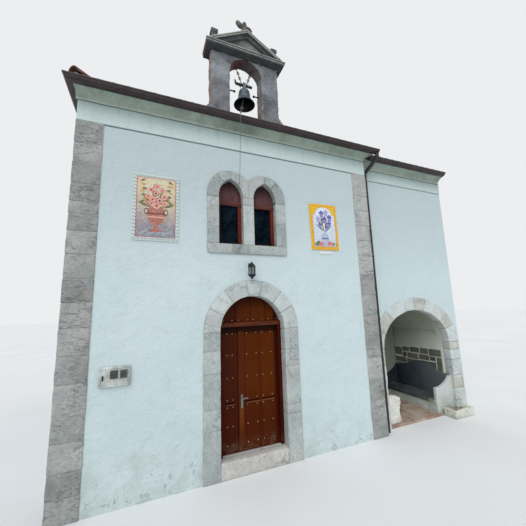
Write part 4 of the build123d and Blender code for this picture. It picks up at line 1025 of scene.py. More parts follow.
def quoin_column(name, side, y0, y1, joints, seed, tones):
    """Corner stones at one side of the block, each a little narrower or prouder than the next."""
    bag = Bag()
    rnd = random.Random(seed)
    for i, z0, z1 in courses(joints):
        x0, x1 = sorted((side * (QUOIN_IN + rnd.uniform(0.0, 0.014)), side * QUOIN_OUT))
        stone(bag, *block_at(x0, x1, y0 - rnd.uniform(0, 0.004), y1, z0, z1), 0.07, 0.014, 0.0055, rnd.randrange(3),
            seed + i * 1.37)
    return bag.make(name, [f"quoin{t}" for t in tones], "quoin_stone")


left_joints = [0.0, 0.3, 0.6, 0.96, 1.27, 1.68, 2.05, 2.42, 2.77, 3.11, 3.465, 3.81, 4.07, 4.26, 4.55, 4.9, 5.2, 5.58]
right_joints = [0.0, 0.34, 0.71, 1.11, 1.53, 1.97, 2.4, 2.82, 3.25, 3.67, 4.01, 4.35, 4.7, 5.05, 5.58]
quoin_column("quoin_stones_left", -1, -0.018, 0.545, left_joints, 11, (0, 1, 2))
quoin_column("quoin_stones_right", 1, -0.018, 0.545, right_joints, 23, (1, 2, 3))
rear_joints = [0.36 * i for i in range(16)] + [6.04]
quoin_column("quoin_stones_rear_left", -1, 6.655, 7.208, rear_joints, 31, (0, 1, 2))
quoin_column("quoin_stones_rear_right", 1, 6.655, 7.208, rear_joints, 47, (1, 2, 3))

# ---------------------------------------------------------------- doorway stones
DOOR_IN, DOOR_OUT, SPRING = 0.592, 0.869, 2.24
bag = Bag()


def ring(r):
    return lambda a: (r * math.cos(a), SPRING + r * math.sin(a))


turns = [180, 153, 127, 98, 78, 50, 28, 0]
for i, a0, a1 in courses(turns, -0.35):
    stone(bag, *wedge(ring(DOOR_IN), ring(DOOR_OUT), a0, a1, -0.027 - 0.003 * (i % 3), 0.205), 0.05, 0.012, 0.004,
        2 + i % 2, 3 + i)
for side, joints in ((-1, [0.0, 0.74, 1.05, 1.59, 1.94, 2.232]), (1, [0.0, 0.78, 0.94, 1.58, 1.86, 2.232])):
    x0, x1 = sorted((side * DOOR_IN, side * DOOR_OUT))
    for i, z0, z1 in courses(joints):
        tilt = 0.02 if side < 0 and i == 1 else 0.0
        stone(bag, *block_at(x0, x1, -0.026 - 0.003 * (i % 2), 0.205, z0, z1, tilt), 0.06, 0.012, 0.004,
            (i + (side > 0)) % 2 + (side > 0) * (i % 2), 13 + i * side)
bag.make("doorway_stones", ["stone2", "stone3", "stone4", "stone5"], "dressed_stone")

bag = Bag()
stone(bag, *block_at(-DOOR_IN, DOOR_IN, -0.026, 0.13, 0.004, 0.254), 0.05, 0.016, 0.004, 0, 5)
stone(bag, *block_at(-0.595, 0.595, 0.14, 0.548, 0.1, 0.2515), 0.07, 0.01, 0.001, 0, 8)
bag.make("threshold_stones", ["step"], "dressed_stone")

# ---------------------------------------------------------------- niche stones
# Half axes and middle of the arch's inner and outer ellipse, and the height of its spring
RX, RZ, NX = 1.07, 0.82, 4.2
OX, OZ, OC = 1.385, 1.106, 4.225
NS = 1.64


def niche_inner(a):
    return (NX + (RX - 0.004) * math.cos(a), NS + (RZ - 0.004) * math.sin(a))


def niche_outer(a):
    return (OC + (OX + 0.003) * math.cos(a), NS + (OZ + 0.003) * math.sin(a))


def angle_of(x, z):
    return math.degrees(math.atan2((z - NS) / OZ, (x - OC) / OX))


bag = Bag()
marks = [180, 158, angle_of(3.35, 2.39), angle_of(3.87, 2.62), 90, angle_of(4.59, 2.68)]
marks += [angle_of(4.95, 2.58), angle_of(5.3, 2.3), angle_of(5.46, 2.05), 0]
for i, a0, a1 in courses(marks, -0.25):
    proud = 0.019 + 0.004 * (i % 3)
    stone(bag, *wedge(niche_inner, niche_outer, a0, a1, 0.19 - proud, 0.345), 0.06, 0.012, 0.004, (i * 2) % 3, 31 + i)
joints = [0.0, 0.27, 0.54, 0.84, 1.21, 1.45, 1.636]
for i, z0, z1 in courses(joints):
    stone(bag, *block_at(5.266, 5.613, 0.166 - 0.004 * (i % 2), 0.345, z0, z1), 0.06, 0.014, 0.005, i % 3, 41 + i)
joints = [0.0, 0.46, 0.79, 1.3, 1.636]
for i, z0, z1 in courses(joints, 0.003):
    ragged = (0.0, 0.014, 0.004, 0.02)[i]
    stone(bag, *block_at(3.03 + ragged, 3.135, 0.177, 0.33, z0, z1), 0.035, 0.01, 0.007, 1 + i % 2, 91 + i)
bag.make("niche_stones", ["stone5", "stone6", "ring"], "dressed_stone")

# Stone facing on the wall behind the bench, with wide white pointing
bag = Bag()
crest = [(1.87, 1.37), (1.32, 1.41), (1.0, 1.425), (0.75, 1.42), (0.385, 1.43)]
slab(bag, crest + [(0.385, 0.7), (1.87, 0.7)], 5.256, 5.272, 0, 0.004, "yz")
rnd = random.Random(77)


def jit():
    return rnd.uniform(-0.0045, 0.0045)


# each stone's y and z ranges
FACING = [
    (1.62, 1.862, 1.135, 1.352), (1.36, 1.592, 1.255, 1.378), (1.05, 1.332, 1.255, 1.395),
    (0.775, 1.02, 1.255, 1.402),
    (0.42, 0.748, 1.235, 1.405), (1.465, 1.592, 1.1, 1.23), (1.1, 1.438, 1.082, 1.23), (0.765, 1.07, 1.095, 1.232),
    (0.585, 0.738, 1.11, 1.21), (1.5, 1.862, 0.935, 1.075), (1.075, 1.475, 0.95, 1.058), (0.585, 1.048, 0.88, 1.07),
    (0.42, 0.555, 0.86, 1.21), (1.6, 1.862, 0.75, 0.912), (1.2, 1.575, 0.75, 0.925), (0.42, 0.59, 0.71, 0.84),
]
for i, (y0, y1, z0, z1) in enumerate(FACING):
    zm, ym = (z0 + z1) / 2, (y0 + y1) / 2
    face = []
    for a, b, z in ((y0, y1, z0), (y1, y0, z1)):
        face += [(a + jit(), z + jit()), (ym + jit(), z + jit() * 0.5), (b + jit(), z + jit()), (b + jit() * 0.5, zm)]
    slab(bag, face, 5.2475 - 0.002 * (i % 3), 5.262, 1 + i * 5 % 3 % 2, 0.005, "yz")
bag.make("niche_facing", ["point", "dado0", "dado1"], "dressed_stone")

# ---------------------------------------------------------------- window stones
# Axis of the pair, offset and half width of a light, radius and centre of the surround's head,
# and the spring and rise of the lights
UA, LO, LHW, RR, RC = -0.05, 0.331, 0.226, 0.430, 4.70
LSP, LRISE = 4.65, 0.33
light_r = (LHW**2 + LRISE**2) / (2 * LHW)


def light_edge(side, x_side, t):
    """Point on a light's pointed head: t 0 at the spring, 1 at the apex; x_side -1 or 1."""
    c = light_r - LHW
    a = t * math.atan2(LRISE, c)
    x = UA + side * LO + x_side * (light_r * math.cos(a) - c)
    return (x, LSP + light_r * math.sin(a))


def ring_edge(side, angle):
    """Point on the rounded head of the stone surround."""
    return (UA + side * LO + RR * math.cos(angle), RC + RR * math.sin(angle))


bag = Bag()
meet = math.acos(min(1.0, LO / RR))
for side in (-1, 1):
    # outer half of the head, from the spring to the top, in two stones
    for k, (t0, t1, b0, b1) in enumerate(((0.0, 0.62, 0.0, 52), (0.62, 1.0, 52, 90))):
        inner = [light_edge(side, side, t0 + (t1 - t0) * i / 6) for i in range(7)]
        ang = [math.radians(b0 + (b1 - b0) * i / 6) for i in range(7)]
        outer = [ring_edge(side, a if side > 0 else math.pi - a) for a in ang]
        if k == 0:
            inner = [(inner[0][0], LSP - 0.05)] + inner
            outer = [(UA + side * (LO + RR), LSP - 0.05)] + outer
        slab(bag, inner + outer[::-1], -0.031 - 0.002 * k, 0.15, k % 3, 0.008)
    # inner half of the head, from the apex down to the middle post
    inner = [light_edge(side, -side, 1.0 - i / 8) for i in range(9)]
    ang = [math.radians(90) + (math.pi / 2 - meet) * i / 6 for i in range(7)]
    outer = [ring_edge(side, a if side > 0 else math.pi - a) for a in ang]
    slab(bag, inner + [(UA + side * 0.002, LSP)] + outer[::-1], -0.03, 0.15, 2, 0.008)
    # jambs
    x0, x1 = sorted((UA + side * (LO + LHW), UA + side * (LO + RR)))
    cuts = [3.752, 4.06 if side < 0 else 4.2, LSP - 0.054]
    for i, z0, z1 in courses(cuts, 0.003):
        stone(bag, *block_at(x0, x1, -0.03, 0.15, z0, z1), 0.05, 0.01, 0.003, (i + 1) % 3, 51 + i * side)
for i, (z0, z1) in enumerate(((3.752, 4.5), (4.506, LSP - 0.003))):
    stone(bag, *block_at(UA - LO + LHW, UA + LO - LHW, -0.03, 0.15, z0 + 0.003, z1 - 0.003), 0.05, 0.01, 0.003,
        3 - i, 61 + i)
for i, (x0, x1) in enumerate(((-0.808, -0.383), (-0.377, -0.073), (-0.067, 0.42), (0.426, 0.708))):
    stone(bag, *block_at(x0, x1, -0.033, 0.15, 3.584, 3.75), 0.05, 0.012, 0.003, (i + 2) % 3, 71 + i)
bag.make("window_stones", ["stone1", "stone2", "stone3", "stone4"], "dressed_stone")

# Rounded rail across each light, and the lit right stile
bag = Bag()
for side in (-1, 1):
    axis = UA + side * LO
    rail = [(-0.002, 4.497), (0.006, 4.499), (0.012, 4.51), (0.024, 4.524), (0.028, 4.54), (0.024, 4.556),
        (0.01, 4.57), (0.006, 4.588), (-0.002, 4.59)]
    swept(bag, [(axis - 0.222, 0.088), (axis + 0.222, 0.088)], rail, 0)
    slab(bag, rect(axis + 0.17, axis + 0.224, 3.765, 4.49), 0.0865, 0.091, 1, 0.0015)
    slab(bag, rect(axis + 0.16, axis + 0.169, 3.8, 4.5), 0.0905, 0.118, 1, 0.001)
bag.make("window_rails", ["window_rail", "window_stile"], "window_wood")

# ---------------------------------------------------------------- bell gable
weathered("bell_gable", "gable_mass", 0.014, 0.012, "gable", 2, 0.002)
weathered("gable_pediment", "pediment_mass", 0.012, 0.006, "cap", 1, 0.001)

# Axis of the gable, and lip, apex and half width of its pediment
GX, LIP, APEX, REACH = -0.055, 7.655, 8.125, 0.81
bag = Bag()
slope = (APEX - LIP) / REACH
for z0, z1, y in ((7.641, 7.654, -0.2265), (7.603, 7.614, -0.216)):
    slab(bag, rect(GX - REACH - 0.012, GX + REACH + 0.012, z0, z1), y, -0.19, 0, 0.003)
for side in (-1, 1):
    for drop, thick in ((0.004, 0.02), (0.05, 0.014)):
        x0, x1 = GX + side * (REACH - 0.05 - drop / slope), GX + side * 0.002
        z0, z1 = LIP + 0.05 * slope, APEX - drop
        slab(bag, [(x0, z0), (x1, z1), (x1, z1 - thick), (x0 + side * -thick * 0.4, z0 - thick)], -0.217, -0.19, 0,
            0.003)
bag.make("pediment_fillets", ["fillet"], "gable_stone")


def blob(bag, centre, radii, axis, sides=20, rings=12):
    """An ellipsoid whose long axis points along the given direction."""
    d = Vector(axis).normalized()
    v = Y_AXIS
    u = v.cross(d).normalized()
    c = Vector(centre)
    verts, faces = [c - d * radii[2]], []
    for i in range(1, rings):
        t = math.pi * i / rings
        verts += circle(c - d * radii[2] * math.cos(t), u * radii[0], v * radii[1], math.sin(t), sides)
    verts.append(c + d * radii[2])
    for j in range(sides):
        j2 = (j + 1) % sides
        faces.append((0, 1 + j2, 1 + j))
        for i in range(rings - 2):
            a, b = 1 + i * sides, 1 + (i + 1) * sides
            faces.append((a + j, a + j2, b + j2, b + j))
        faces.append((1 + (rings - 2) * sides + j, 1 + (rings - 2) * sides + j2, len(verts) - 1))
    bag.add(verts, faces)


FY = -0.0025  # middle of the gable's thickness
bag = Bag()
# lumps of the top ornament: offset from the gable's axis, height, radii and long axis
for dx, z, radii, axis in (
    (0.0, 8.16, (0.075, 0.07, 0.16), (0, 0, 1)),
    (0.0, 8.3, (0.052, 0.05, 0.14), (0, 0, 1)),
    (0.0, 8.285, (0.075, 0.068, 0.026), (0, 0, 1)),
    (0.0, 8.4, (0.066, 0.05, 0.06), (0, 0, 1)),
    (-0.09, 8.42, (0.062, 0.05, 0.085), (-0.7, 0, 0.7)),
    (-0.125, 8.45, (0.05, 0.044, 0.062), (-0.35, 0, 0.94)),
    (0.012, 8.45, (0.052, 0.046, 0.092), (0.1, 0, 1)),
    (0.1, 8.385, (0.054, 0.046, 0.084), (0.93, 0, -0.36)),
    (0.14, 8.365, (0.042, 0.04, 0.055), (0.4, 0, -0.9)),
):
    blob(bag, (GX + dx, FY, z), radii, axis)
for side in (-1, 1):
    x = GX + side * 0.635
    for half, y, z0, z1 in ((0.056, 0.066, 7.6, 7.98), (0.072, 0.082, 7.965, 8.046)):
        stone(bag, *block_at(x - half, x + half, FY - y, FY + y, z0, z1), 0.05, 0.006, 0.003, 0, x + z0)
me = bpy.data.meshes.new("finials")
me.from_pydata([tuple(p) for p in bag.v], [], bag.f)
nodes["gable_finials"].data.materials.clear()
weathered("gable_finials", "finial_carving", 0.008, 0.006, "cap", 1, 0.0, me)

# ---------------------------------------------------------------- broken masonry at the niche
ob = weathered("niche_blocks", "niche_masonry", 0.014, 0.014, "block", 3, 0.002)
for v in ob.data.vertices:
    x, y, z = v.co
    if x > 4.7:
        sunk = min(1.0, max(0.0, min((x - 4.86) / 0.025, (5.38 - x) / 0.025, (y + 0.06) / 0.025)))
        if z > 0.12:
            v.co.z -= 0.07 * sunk + 0.012 * (noise.noise(v.co * 7) + 0.3)
    elif y < 0.46:
        bite = max(0.0, 1 - abs(z - 0.3) / 0.17) * min(1.0, max(0.0, (x - 3.3) / 0.2))
        v.co.x += 0.03 * min(1.0, max(0.0, (x - 3.2) / 0.2)) - 0.05 * bite
        if z > 0.5:
            v.co.z += 0.05 * (3.36 - x) / 0.2 + 0.02 * noise.noise(v.co * 6)
    elif z > 0.36:
        v.co.z += 0.02 * noise.noise(v.co * 5)

# ---------------------------------------------------------------- roof tiles
PITCH = math.radians(20)
cp, sp = math.cos(PITCH), math.sin(PITCH)
SUNK = 0.098  # how far the tiles' bed lies under the roof plane


def tile_slope(bag, origin, along, rise, width, length, clips, seed, rows=None):
    """Rows of barrel tiles on a slope. origin is the low corner on the roof plane, along runs by the eaves,
    rise points up the slope."""
    rnd = random.Random(seed)
    a, t = Vector(along).normalized(), Vector(rise).normalized()
    n = a.cross(t).normalized()
    if n.z < 0:
        n = -n
    o = Vector(origin) - n * SUNK
    show, pitch_x = 0.335, 0.205
    tmp = Bag()
    columns = int(width / pitch_x) + 1
    rows = rows or range(int(length / show) + 1)
    seg = 8
    shape = [(math.cos(math.radians(8 + 164 * q / seg)),
        math.sin(math.radians(8 + 164 * q / seg))) for q in range(seg + 1)]
    for kind in (0, 1):
        for i in range(columns):
            s0 = (i + kind / 2) * pitch_x + 0.03
            for j in rows:
                t0 = j * show - 0.035
                r0, r1 = (0.088, 0.072) if kind else (0.074, 0.086)
                jx, turn = rnd.uniform(-0.006, 0.006), rnd.uniform(-0.012, 0.012)
                verts = []
                for e, (tt, r) in enumerate(((t0, r0), (t0 + 0.42, r1))):
                    lift = (0.034 if e == 0 else 0.014) if kind else (0.092 if e == 0 else 0.08)
                    for shell in (0.0, 0.013):
                        for cq, sq in shape:
                            x = (r - shell) * cq + jx + turn * e * 5
                            z = (r - shell) * sq * (0.92 if kind else -0.92) + lift
                            verts.append(o + a * (s0 + x) + t * tt + n * z)
                tmp.add(verts, trough(seg), rnd.choice((0, 0, 1, 2)))
    me = bpy.data.meshes.new("tmp")
    me.from_pydata([tuple(p) for p in tmp.v], [], tmp.f)
    me.polygons.foreach_set("material_index", tmp.m)
    bm = bmesh.new()
    bm.from_mesh(me)
    for point, normal in clips:
        geom = list(bm.verts) + list(bm.edges) + list(bm.faces)
        bmesh.ops.bisect_plane(bm, geom=geom, dist=1e-5, plane_co=point, plane_no=normal, clear_outer=True)
    bm.verts.index_update()
    base = len(bag.v)
    bag.v += [v.co.copy() for v in bm.verts]
    bag.f += [tuple(base + v.index for v in f.verts) for f in bm.faces]
    bag.m += [f.material_index for f in bm.faces]
    bm.free()
    bpy.data.meshes.remove(me)


def ridge_tiles(bag, start, end, seed=5, first=None):
    """A row of large tiles on a mortar bed, each over the next one, along a ridge or hip."""
    rnd = random.Random(seed)
    s, e = Vector(start), Vector(end)
    d = (e - s).normalized()
    side = d.cross(Vector((0, 0, 1))).normalized()
    up = side.cross(d).normalized()
    long = (e - s).length
    count = max(1, round(long / 0.36))
    pitch = long / count
    seg = 10
    for j in range(count):
        verts = []
        tilt = rnd.uniform(-0.006, 0.006)
        low = (0.112, 0.03) if first and j == 0 else (0.098, 0.012)
        for tt, r, h in ((j * pitch, *low), (min(long, j * pitch + 0.43), 0.084, -0.015)):
            for shell in (0.0, 0.015):
                for q in range(seg + 1):
                    ang = math.radians(-4 + 188 * q / seg)
                    x, z = (r - shell) * math.cos(ang) + tilt, (r - shell) * math.sin(ang) * 0.85 + h
                    verts.append(s + d * tt + side * x + up * z)
        bag.add(verts, trough(seg), rnd.choice((0, 1, 2)))
    verts = []
    for p in (s + d * 0.03, e):
        for x, z in ((-0.088, -0.115), (-0.074, 0.004), (0.0, 0.05), (0.074, 0.004), (0.088, -0.115)):
            verts.append(p + side * x + up * z)
    faces = [(i, (i + 1) % 5, 5 + (i + 1) % 5, 5 + i) for i in range(5)] + [(4, 3, 2, 1, 0), (5, 6, 7, 8, 9)]
    bag.add(verts, faces, 3)


EDGE = 6.205  # roof plane at the eaves
FRONT, REAR, LEFT, VERGE = -0.17, 7.37, -2.88, 2.895
HALF = (REAR - FRONT) / 2
MID = FRONT + HALF
RIDGE = EDGE + HALF * math.tan(PITCH)
HIP_END = LEFT + HALF
slope_len = HALF / cp
tiles = ["tile", "tile_b", "tile_c"]
hip_f = (Vector((LEFT, FRONT, 0)), Vector((-1, 1, 0)))
hip_r = (Vector((LEFT, REAR, 0)), Vector((-1, -1, 0)))
g0, g1 = -0.92, 0.81  # the bell gable stands between these, and the tiles leave it free


def x_clip(x, sign):
    return (Vector((x, 0, 0)), Vector((sign, 0, 0)))


def y_clip(y, sign):
    return (Vector((0, y, 0)), Vector((0, sign, 0)))


verge, front_half = x_clip(VERGE, 1), y_clip(MID, 1)
bag = Bag()
front = ((LEFT, FRONT, EDGE), (1, 0, 0), (0, cp, sp), VERGE - LEFT, slope_len - 0.02)
tile_slope(bag, *front, [hip_f, x_clip(g0, 1), front_half], 1)
tile_slope(bag, *front, [hip_f, x_clip(g1, -1), verge, front_half], 1)
tile_slope(bag, *front, [x_clip(g0, -1), x_clip(g1, 1), y_clip(-0.075, 1)], 1, range(1))
tile_slope(bag, *front, [hip_f, x_clip(g0, -1), x_clip(g1, 1), front_half, y_clip(0.212, -1)], 1)
bag.make("roof_tiles_front", tiles, "roof_tile")
bag = Bag()
tile_slope(bag, (LEFT, REAR, EDGE), (1, 0, 0), (0, -cp, sp), VERGE - LEFT, slope_len - 0.02,
           [hip_r, verge, y_clip(MID, -1)], 2)
bag.make("roof_tiles_rear", tiles, "roof_tile")
bag = Bag()
tile_slope(bag, (LEFT, FRONT, EDGE), (0, 1, 0), (cp, 0, sp), REAR - FRONT, slope_len - 0.02,
           [(hip_f[0], -hip_f[1]), (hip_r[0], -hip_r[1])], 3)
bag.make("roof_tiles_hip", tiles, "roof_tile")
bag = Bag()
ridge_tiles(bag, (VERGE, MID, RIDGE), (HIP_END - 0.05, MID, RIDGE), 7)
for y in (FRONT, REAR):
    ridge_tiles(bag, (LEFT, y, EDGE), (HIP_END, MID, RIDGE), 9, True)
bag.make("ridge_tiles", tiles + ["bed"], "roof_tile")

# Boards under the tiles, mortar along the verge, and masonry that fills the eaves
bag = Bag()
TOP, FOOT = 0.1, 0.135
verts = []
for drop in (TOP, FOOT):
    for x, y, z in ((LEFT, FRONT, EDGE), (VERGE, FRONT, EDGE), (VERGE, MID, RIDGE), (HIP_END, MID, RIDGE),
            (LEFT, REAR, EDGE), (VERGE, REAR, EDGE)):
        verts.append((x, y, z - drop))
skin = [(0, 1, 2, 3), (4, 3, 2, 5), (0, 3, 4)]
faces = skin + [tuple(6 + i for i in f[::-1]) for f in skin]
faces += [(a, b, 6 + b, 6 + a) for a, b in ((0, 1), (1, 2), (2, 5), (5, 4), (4, 0))]
bag.add(verts, faces, 0)


def under(y):
    """Underside of the boards over the front half."""
    return EDGE - FOOT + (y - FRONT) * math.tan(PITCH)


low, high = EDGE - FOOT, RIDGE - FOOT
for y in (FRONT, REAR):
    slab(bag, [(y, low), (MID, high), (MID, high + 0.105), (y, low + 0.105)], 2.858, VERGE, 1, 0.002, "yz")
swept(bag, rect(2.895, -2.71, 7.2, 0.0),
      [(-0.53, 6.066), (0.168, 6.066), (0.168, under(FRONT) + 0.004), (-0.53, under(0.53) + 0.004)], 2)
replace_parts(bag.make("roof_boards", ["boards", "bed", "wall"], "roof_tile"), "roof")

BF, BREAR, BEDGE = 0.02, 2.33, 6.153
bag = Bag()
tile_slope(bag, (2.84, BF, BEDGE), (1, 0, 0), (0, cp, sp), 2.80, (BREAR - BF) / cp - 0.05,
           [x_clip(5.655, 1), x_clip(2.85, -1), y_clip(BREAR, 1)], 4)
bag.make("bay_roof_tiles", tiles, "roof_tile")
bag = Bag()
top_y = BEDGE + (BREAR - BF) * math.tan(PITCH)
slab(bag, [(BF, BEDGE - FOOT), (BREAR, top_y - FOOT), (BREAR, top_y - TOP), (BF, BEDGE - TOP)], 2.84, 5.66, 0, 0,
    "yz")
for x0, x1 in ((5.628, 5.66), (2.84, 2.862)):
    slab(bag, [(BF, BEDGE - FOOT), (BREAR, top_y - FOOT), (BREAR, top_y - 0.03), (BF, BEDGE - 0.03)], x0, x1, 1,
        0.002, "yz")
slab(bag, [(BREAR - 0.03, top_y - FOOT), (BREAR, top_y - FOOT), (BREAR, top_y - 0.02), (BREAR - 0.03, top_y - 0.03)],
    2.84, 5.66, 1, 0.002, "yz")
slab(bag, [(BF + 0.002, 6.0135), (0.488, 6.0135), (0.488, BEDGE - FOOT + 0.468 * math.tan(PITCH) + 0.004),
    (BF + 0.002, BEDGE - FOOT + 0.004)],
     2.842, 5.658, 2, 0.002, "yz")
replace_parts(bag.make("bay_roof_boards", ["boards", "bed", "wall"], "roof_tile"), "bay_roof")


# ---------------------------------------------------------------- gutters
def gutter_profile(width, bottom, top):
    outer = [(0.0, 0.0), (0.44, 0.0), (0.56, 0.07), (0.58, 0.2), (0.66, 0.24), (0.8, 0.36), (0.87, 0.52),
        (0.885, 0.66)]
    outer += [(0.95, 0.7), (0.995, 0.8), (0.995, 0.93), (0.96, 0.995), (0.92, 0.995)]
    inner = [(0.9, 0.86), (0.84, 0.66), (0.82, 0.52), (0.75, 0.4), (0.6, 0.27), (0.5, 0.1), (0.42, 0.05),
        (0.04, 0.05), (0.04, 0.995), (0.0, 0.995)]
    return [(o * width, bottom + h * (top - bottom)) for o, h in outer + inner]


def gutter_cap(bag, profile, x, wall_y, mat=0):
    pts = [(wall_y - o, z) for o, z in profile[:13]] + [(wall_y - profile[-1][0], profile[-1][1])]
    slab(bag, pts, x, x + 0.006, mat, 0.0015, "yz", 1)


def gutter_straps(bag, xs, wall_y, width, top):
    for x in xs:
        slab(bag, [(wall_y + 0.0, top - 0.003), (wall_y - width, top - 0.003), (wall_y - width, top), (wall_y, top)],
            x, x + 0.02, 0, 0.0008, "yz", 1)


g_bottom, g_top, g_width = 6.055, 6.143, 0.12
bag = Bag()
prof = gutter_profile(g_width, g_bottom, g_top)
swept(bag, [(2.835, 7.37), (-2.88, 7.37), (-2.88, -0.17), (3.099, -0.17)], prof)
gutter_cap(bag, prof, 3.099, -0.17)
gutter_cap(bag, [(-o, z) for o, z in prof], 2.83, 7.37)
gutter_straps(bag, [-2.5 + 0.62 * i for i in range(9)], -0.17, g_width - 0.002, g_top)
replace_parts(bag.make("gutter_moulded", ["gutter"], "gutter_metal"), "gutter")
lo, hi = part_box("bay_gutter")
bag = Bag()
prof = gutter_profile(hi[1] - lo[1], lo[2], hi[2])
swept(bag, [(lo[0], hi[1]), (hi[0] - 0.006, hi[1])], prof)
gutter_cap(bag, prof, hi[0] - 0.006, hi[1])
gutter_cap(bag, prof, lo[0], hi[1])
gutter_straps(bag, [lo[0] + 0.3 + 0.6 * i for i in range(4)], hi[1], hi[1] - lo[1] - 0.002, hi[2])
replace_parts(bag.make("bay_gutter_moulded", ["gutter"], "gutter_metal"), "bay_gutter")

# Collars on the downpipe
bag = Bag()
PX, PY = 2.969, 0.118
for z in (5.45, 3.9, 2.3, 0.75):
    verts, sides = [], 20
    for r, h in ((0.0422, -0.03), (0.0468, -0.026), (0.0468, 0.026), (0.0422, 0.03)):
        verts += circle(Vector((PX, PY, z + h)), X_AXIS, Y_AXIS, r, sides)
    bag.add(verts, tube(4, sides))
bag.make("downpipe_collars", ["pipe"], "gutter_metal")

# ---------------------------------------------------------------- bell and rope
BX, BY = -0.055, 0.0675  # the bell's axis
bag = Bag()


def band(bag, cx, cy, z, radius, thick, sides=48, seg=8):
    verts = []
    for j in range(sides):
        a = 2 * math.pi * j / sides
        for q in range(seg):
            b = 2 * math.pi * q / seg
            r = radius + thick * math.cos(b)
            verts.append((cx + r * math.cos(a), cy + r * math.sin(a), z + thick * math.sin(b)))
    bag.add(verts, hoop(sides, seg))


for z, r in ((6.662, 0.2), (6.69, 0.178), (6.86, 0.1165), (6.92, 0.106), (6.936, 0.102)):
    band(bag, BX, BY, z, r, 0.0045)
bag.make("bell_bands", ["bronze"], "bell_bronze")

route = [
    (-0.1313, 0.0675, 6.4550),
    (-0.1362, 0.0675, 6.4254),
    (-0.267, -0.2972, 6.185),
    (-0.266, -0.2972, 6.11),
    (-0.265, -0.2972, 6.03),
    (-0.216, -0.033, 4.845),
    (-0.236, 0.03, 4.785),
    (-0.236, 0.23, 4.785),
]


def spline_points(points, resolution=24):
    cu = bpy.data.curves.new("route", "CURVE")
    cu.dimensions = "3D"
    sp = cu.splines.new("NURBS")
    sp.points.add(len(points) - 1)
    for p, q in zip(sp.points, points):
        p.co = (*q, 1.0)
    sp.order_u = 3
    sp.use_endpoint_u = True
    sp.resolution_u = resolution
    ob = bpy.data.objects.new("route", cu)
    bpy.context.scene.collection.objects.link(ob)
    graph = bpy.context.evaluated_depsgraph_get()
    me = bpy.data.meshes.new_from_object(ob.evaluated_get(graph), depsgraph=graph)
    pts = [v.co.copy() for v in me.vertices]
    bpy.data.objects.remove(ob)
    bpy.data.meshes.remove(me)
    return pts


def strands(bag, pts, radius, count=3, pitch=0.03, per_pitch=6, sides=5):
    """Strands laid round each other along the points."""
    length, run = [0.0], 0.0
    for a, b in zip(pts, pts[1:]):
        run += (b - a).length
        length.append(run)
    n = max(2, int(run / pitch * per_pitch))
    centre, k = [], 0
    for i in range(n + 1):
        s = run * i / n
        while k < len(length) - 2 and length[k + 1] < s:
            k += 1
        t = (s - length[k]) / max(1e-9, length[k + 1] - length[k])
        centre.append(pts[k].lerp(pts[k + 1], min(1.0, t)))
    u = None
    frames = []
    for i, c in enumerate(centre):
        d = (centre[min(n, i + 1)] - centre[max(0, i - 1)]).normalized()
        u = d.orthogonal().normalized() if u is None else (u - d * u.dot(d)).normalized()
        frames.append((c, u, d.cross(u)))
    thick = radius * 0.52
    for k in range(count):
        verts = []
        for i, (c, u, w) in enumerate(frames):
            a = 2 * math.pi * (i / per_pitch + k / count)
            off = (u * math.cos(a) + w * math.sin(a)) * (radius - thick)
            verts += circle(c + off, u, w, thick, sides)
        ends = [list(range(sides))[::-1], [n * sides + q for q in range(sides)]]
        bag.add(verts, tube(n + 1, sides) + ends)


bag = Bag()
strands(bag, spline_points(route), 0.0045)
rope = bag.make("rope_line", ["rope"], "rope", body=None)
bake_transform(rope)
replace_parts(rope, "bell_rope")

# Clamp, bent end of the bar, crown loops and hanging links
bag = Bag()
HZ = 7.09
ux, uy = math.cos(math.radians(-8)), math.sin(math.radians(-8))


def on_bar(t, dz=0.0, dy=0.0):
    return (BX + ux * t - uy * dy, BY + uy * t + ux * dy, HZ + dz)


strands(bag, spline_points([on_bar(-0.13), on_bar(-0.16, 0.002), on_bar(-0.176, 0.03), on_bar(-0.178, 0.1)], 6),
    0.0235, 1, 0.03, 3, 10)
for side in (-1, 1):
    strands(bag, spline_points([on_bar(side * 0.03, -0.1), on_bar(side * 0.075, -0.075), on_bar(side * 0.07, -0.02),
        on_bar(side * 0.025, -0.02)], 8), 0.0085, 1, 0.02, 3, 8)
    for k in range(3):
        x = BX + side * (0.045 + (0.14 + 0.05 * k) * math.tan(math.radians(18)))
        across, deep = (0.5, 0.8) if k % 2 else (1.0, 0.0)
        verts = []
        for j in range(18):
            a = 2 * math.pi * j / 18
            for q in range(6):
                b = 2 * math.pi * q / 6
                r = 0.024 + 0.0055 * math.cos(b)
                y = BY + 0.0055 * math.sin(b) + r * math.cos(a) * deep
                verts.append((x + r * math.cos(a) * across, y, HZ + 0.14 + 0.05 * k + r * math.sin(a) * 1.15))
        bag.add(verts, hoop(18, 6))
bag.make("bell_hangings", ["iron"], "iron")
bag = Bag()
for t in (-0.085, 0.085):
    verts = []
    for r, dt in ((0.0262, -0.012), (0.031, -0.01), (0.031, 0.01), (0.0262, 0.012)):
        for j in range(16):
            a = 2 * math.pi * j / 16
            verts.append(on_bar(t + dt, r * math.sin(a), r * math.cos(a)))
    bag.add(verts, tube(4, 16))
bag.make("bell_clamps", ["pale_iron"], "iron")

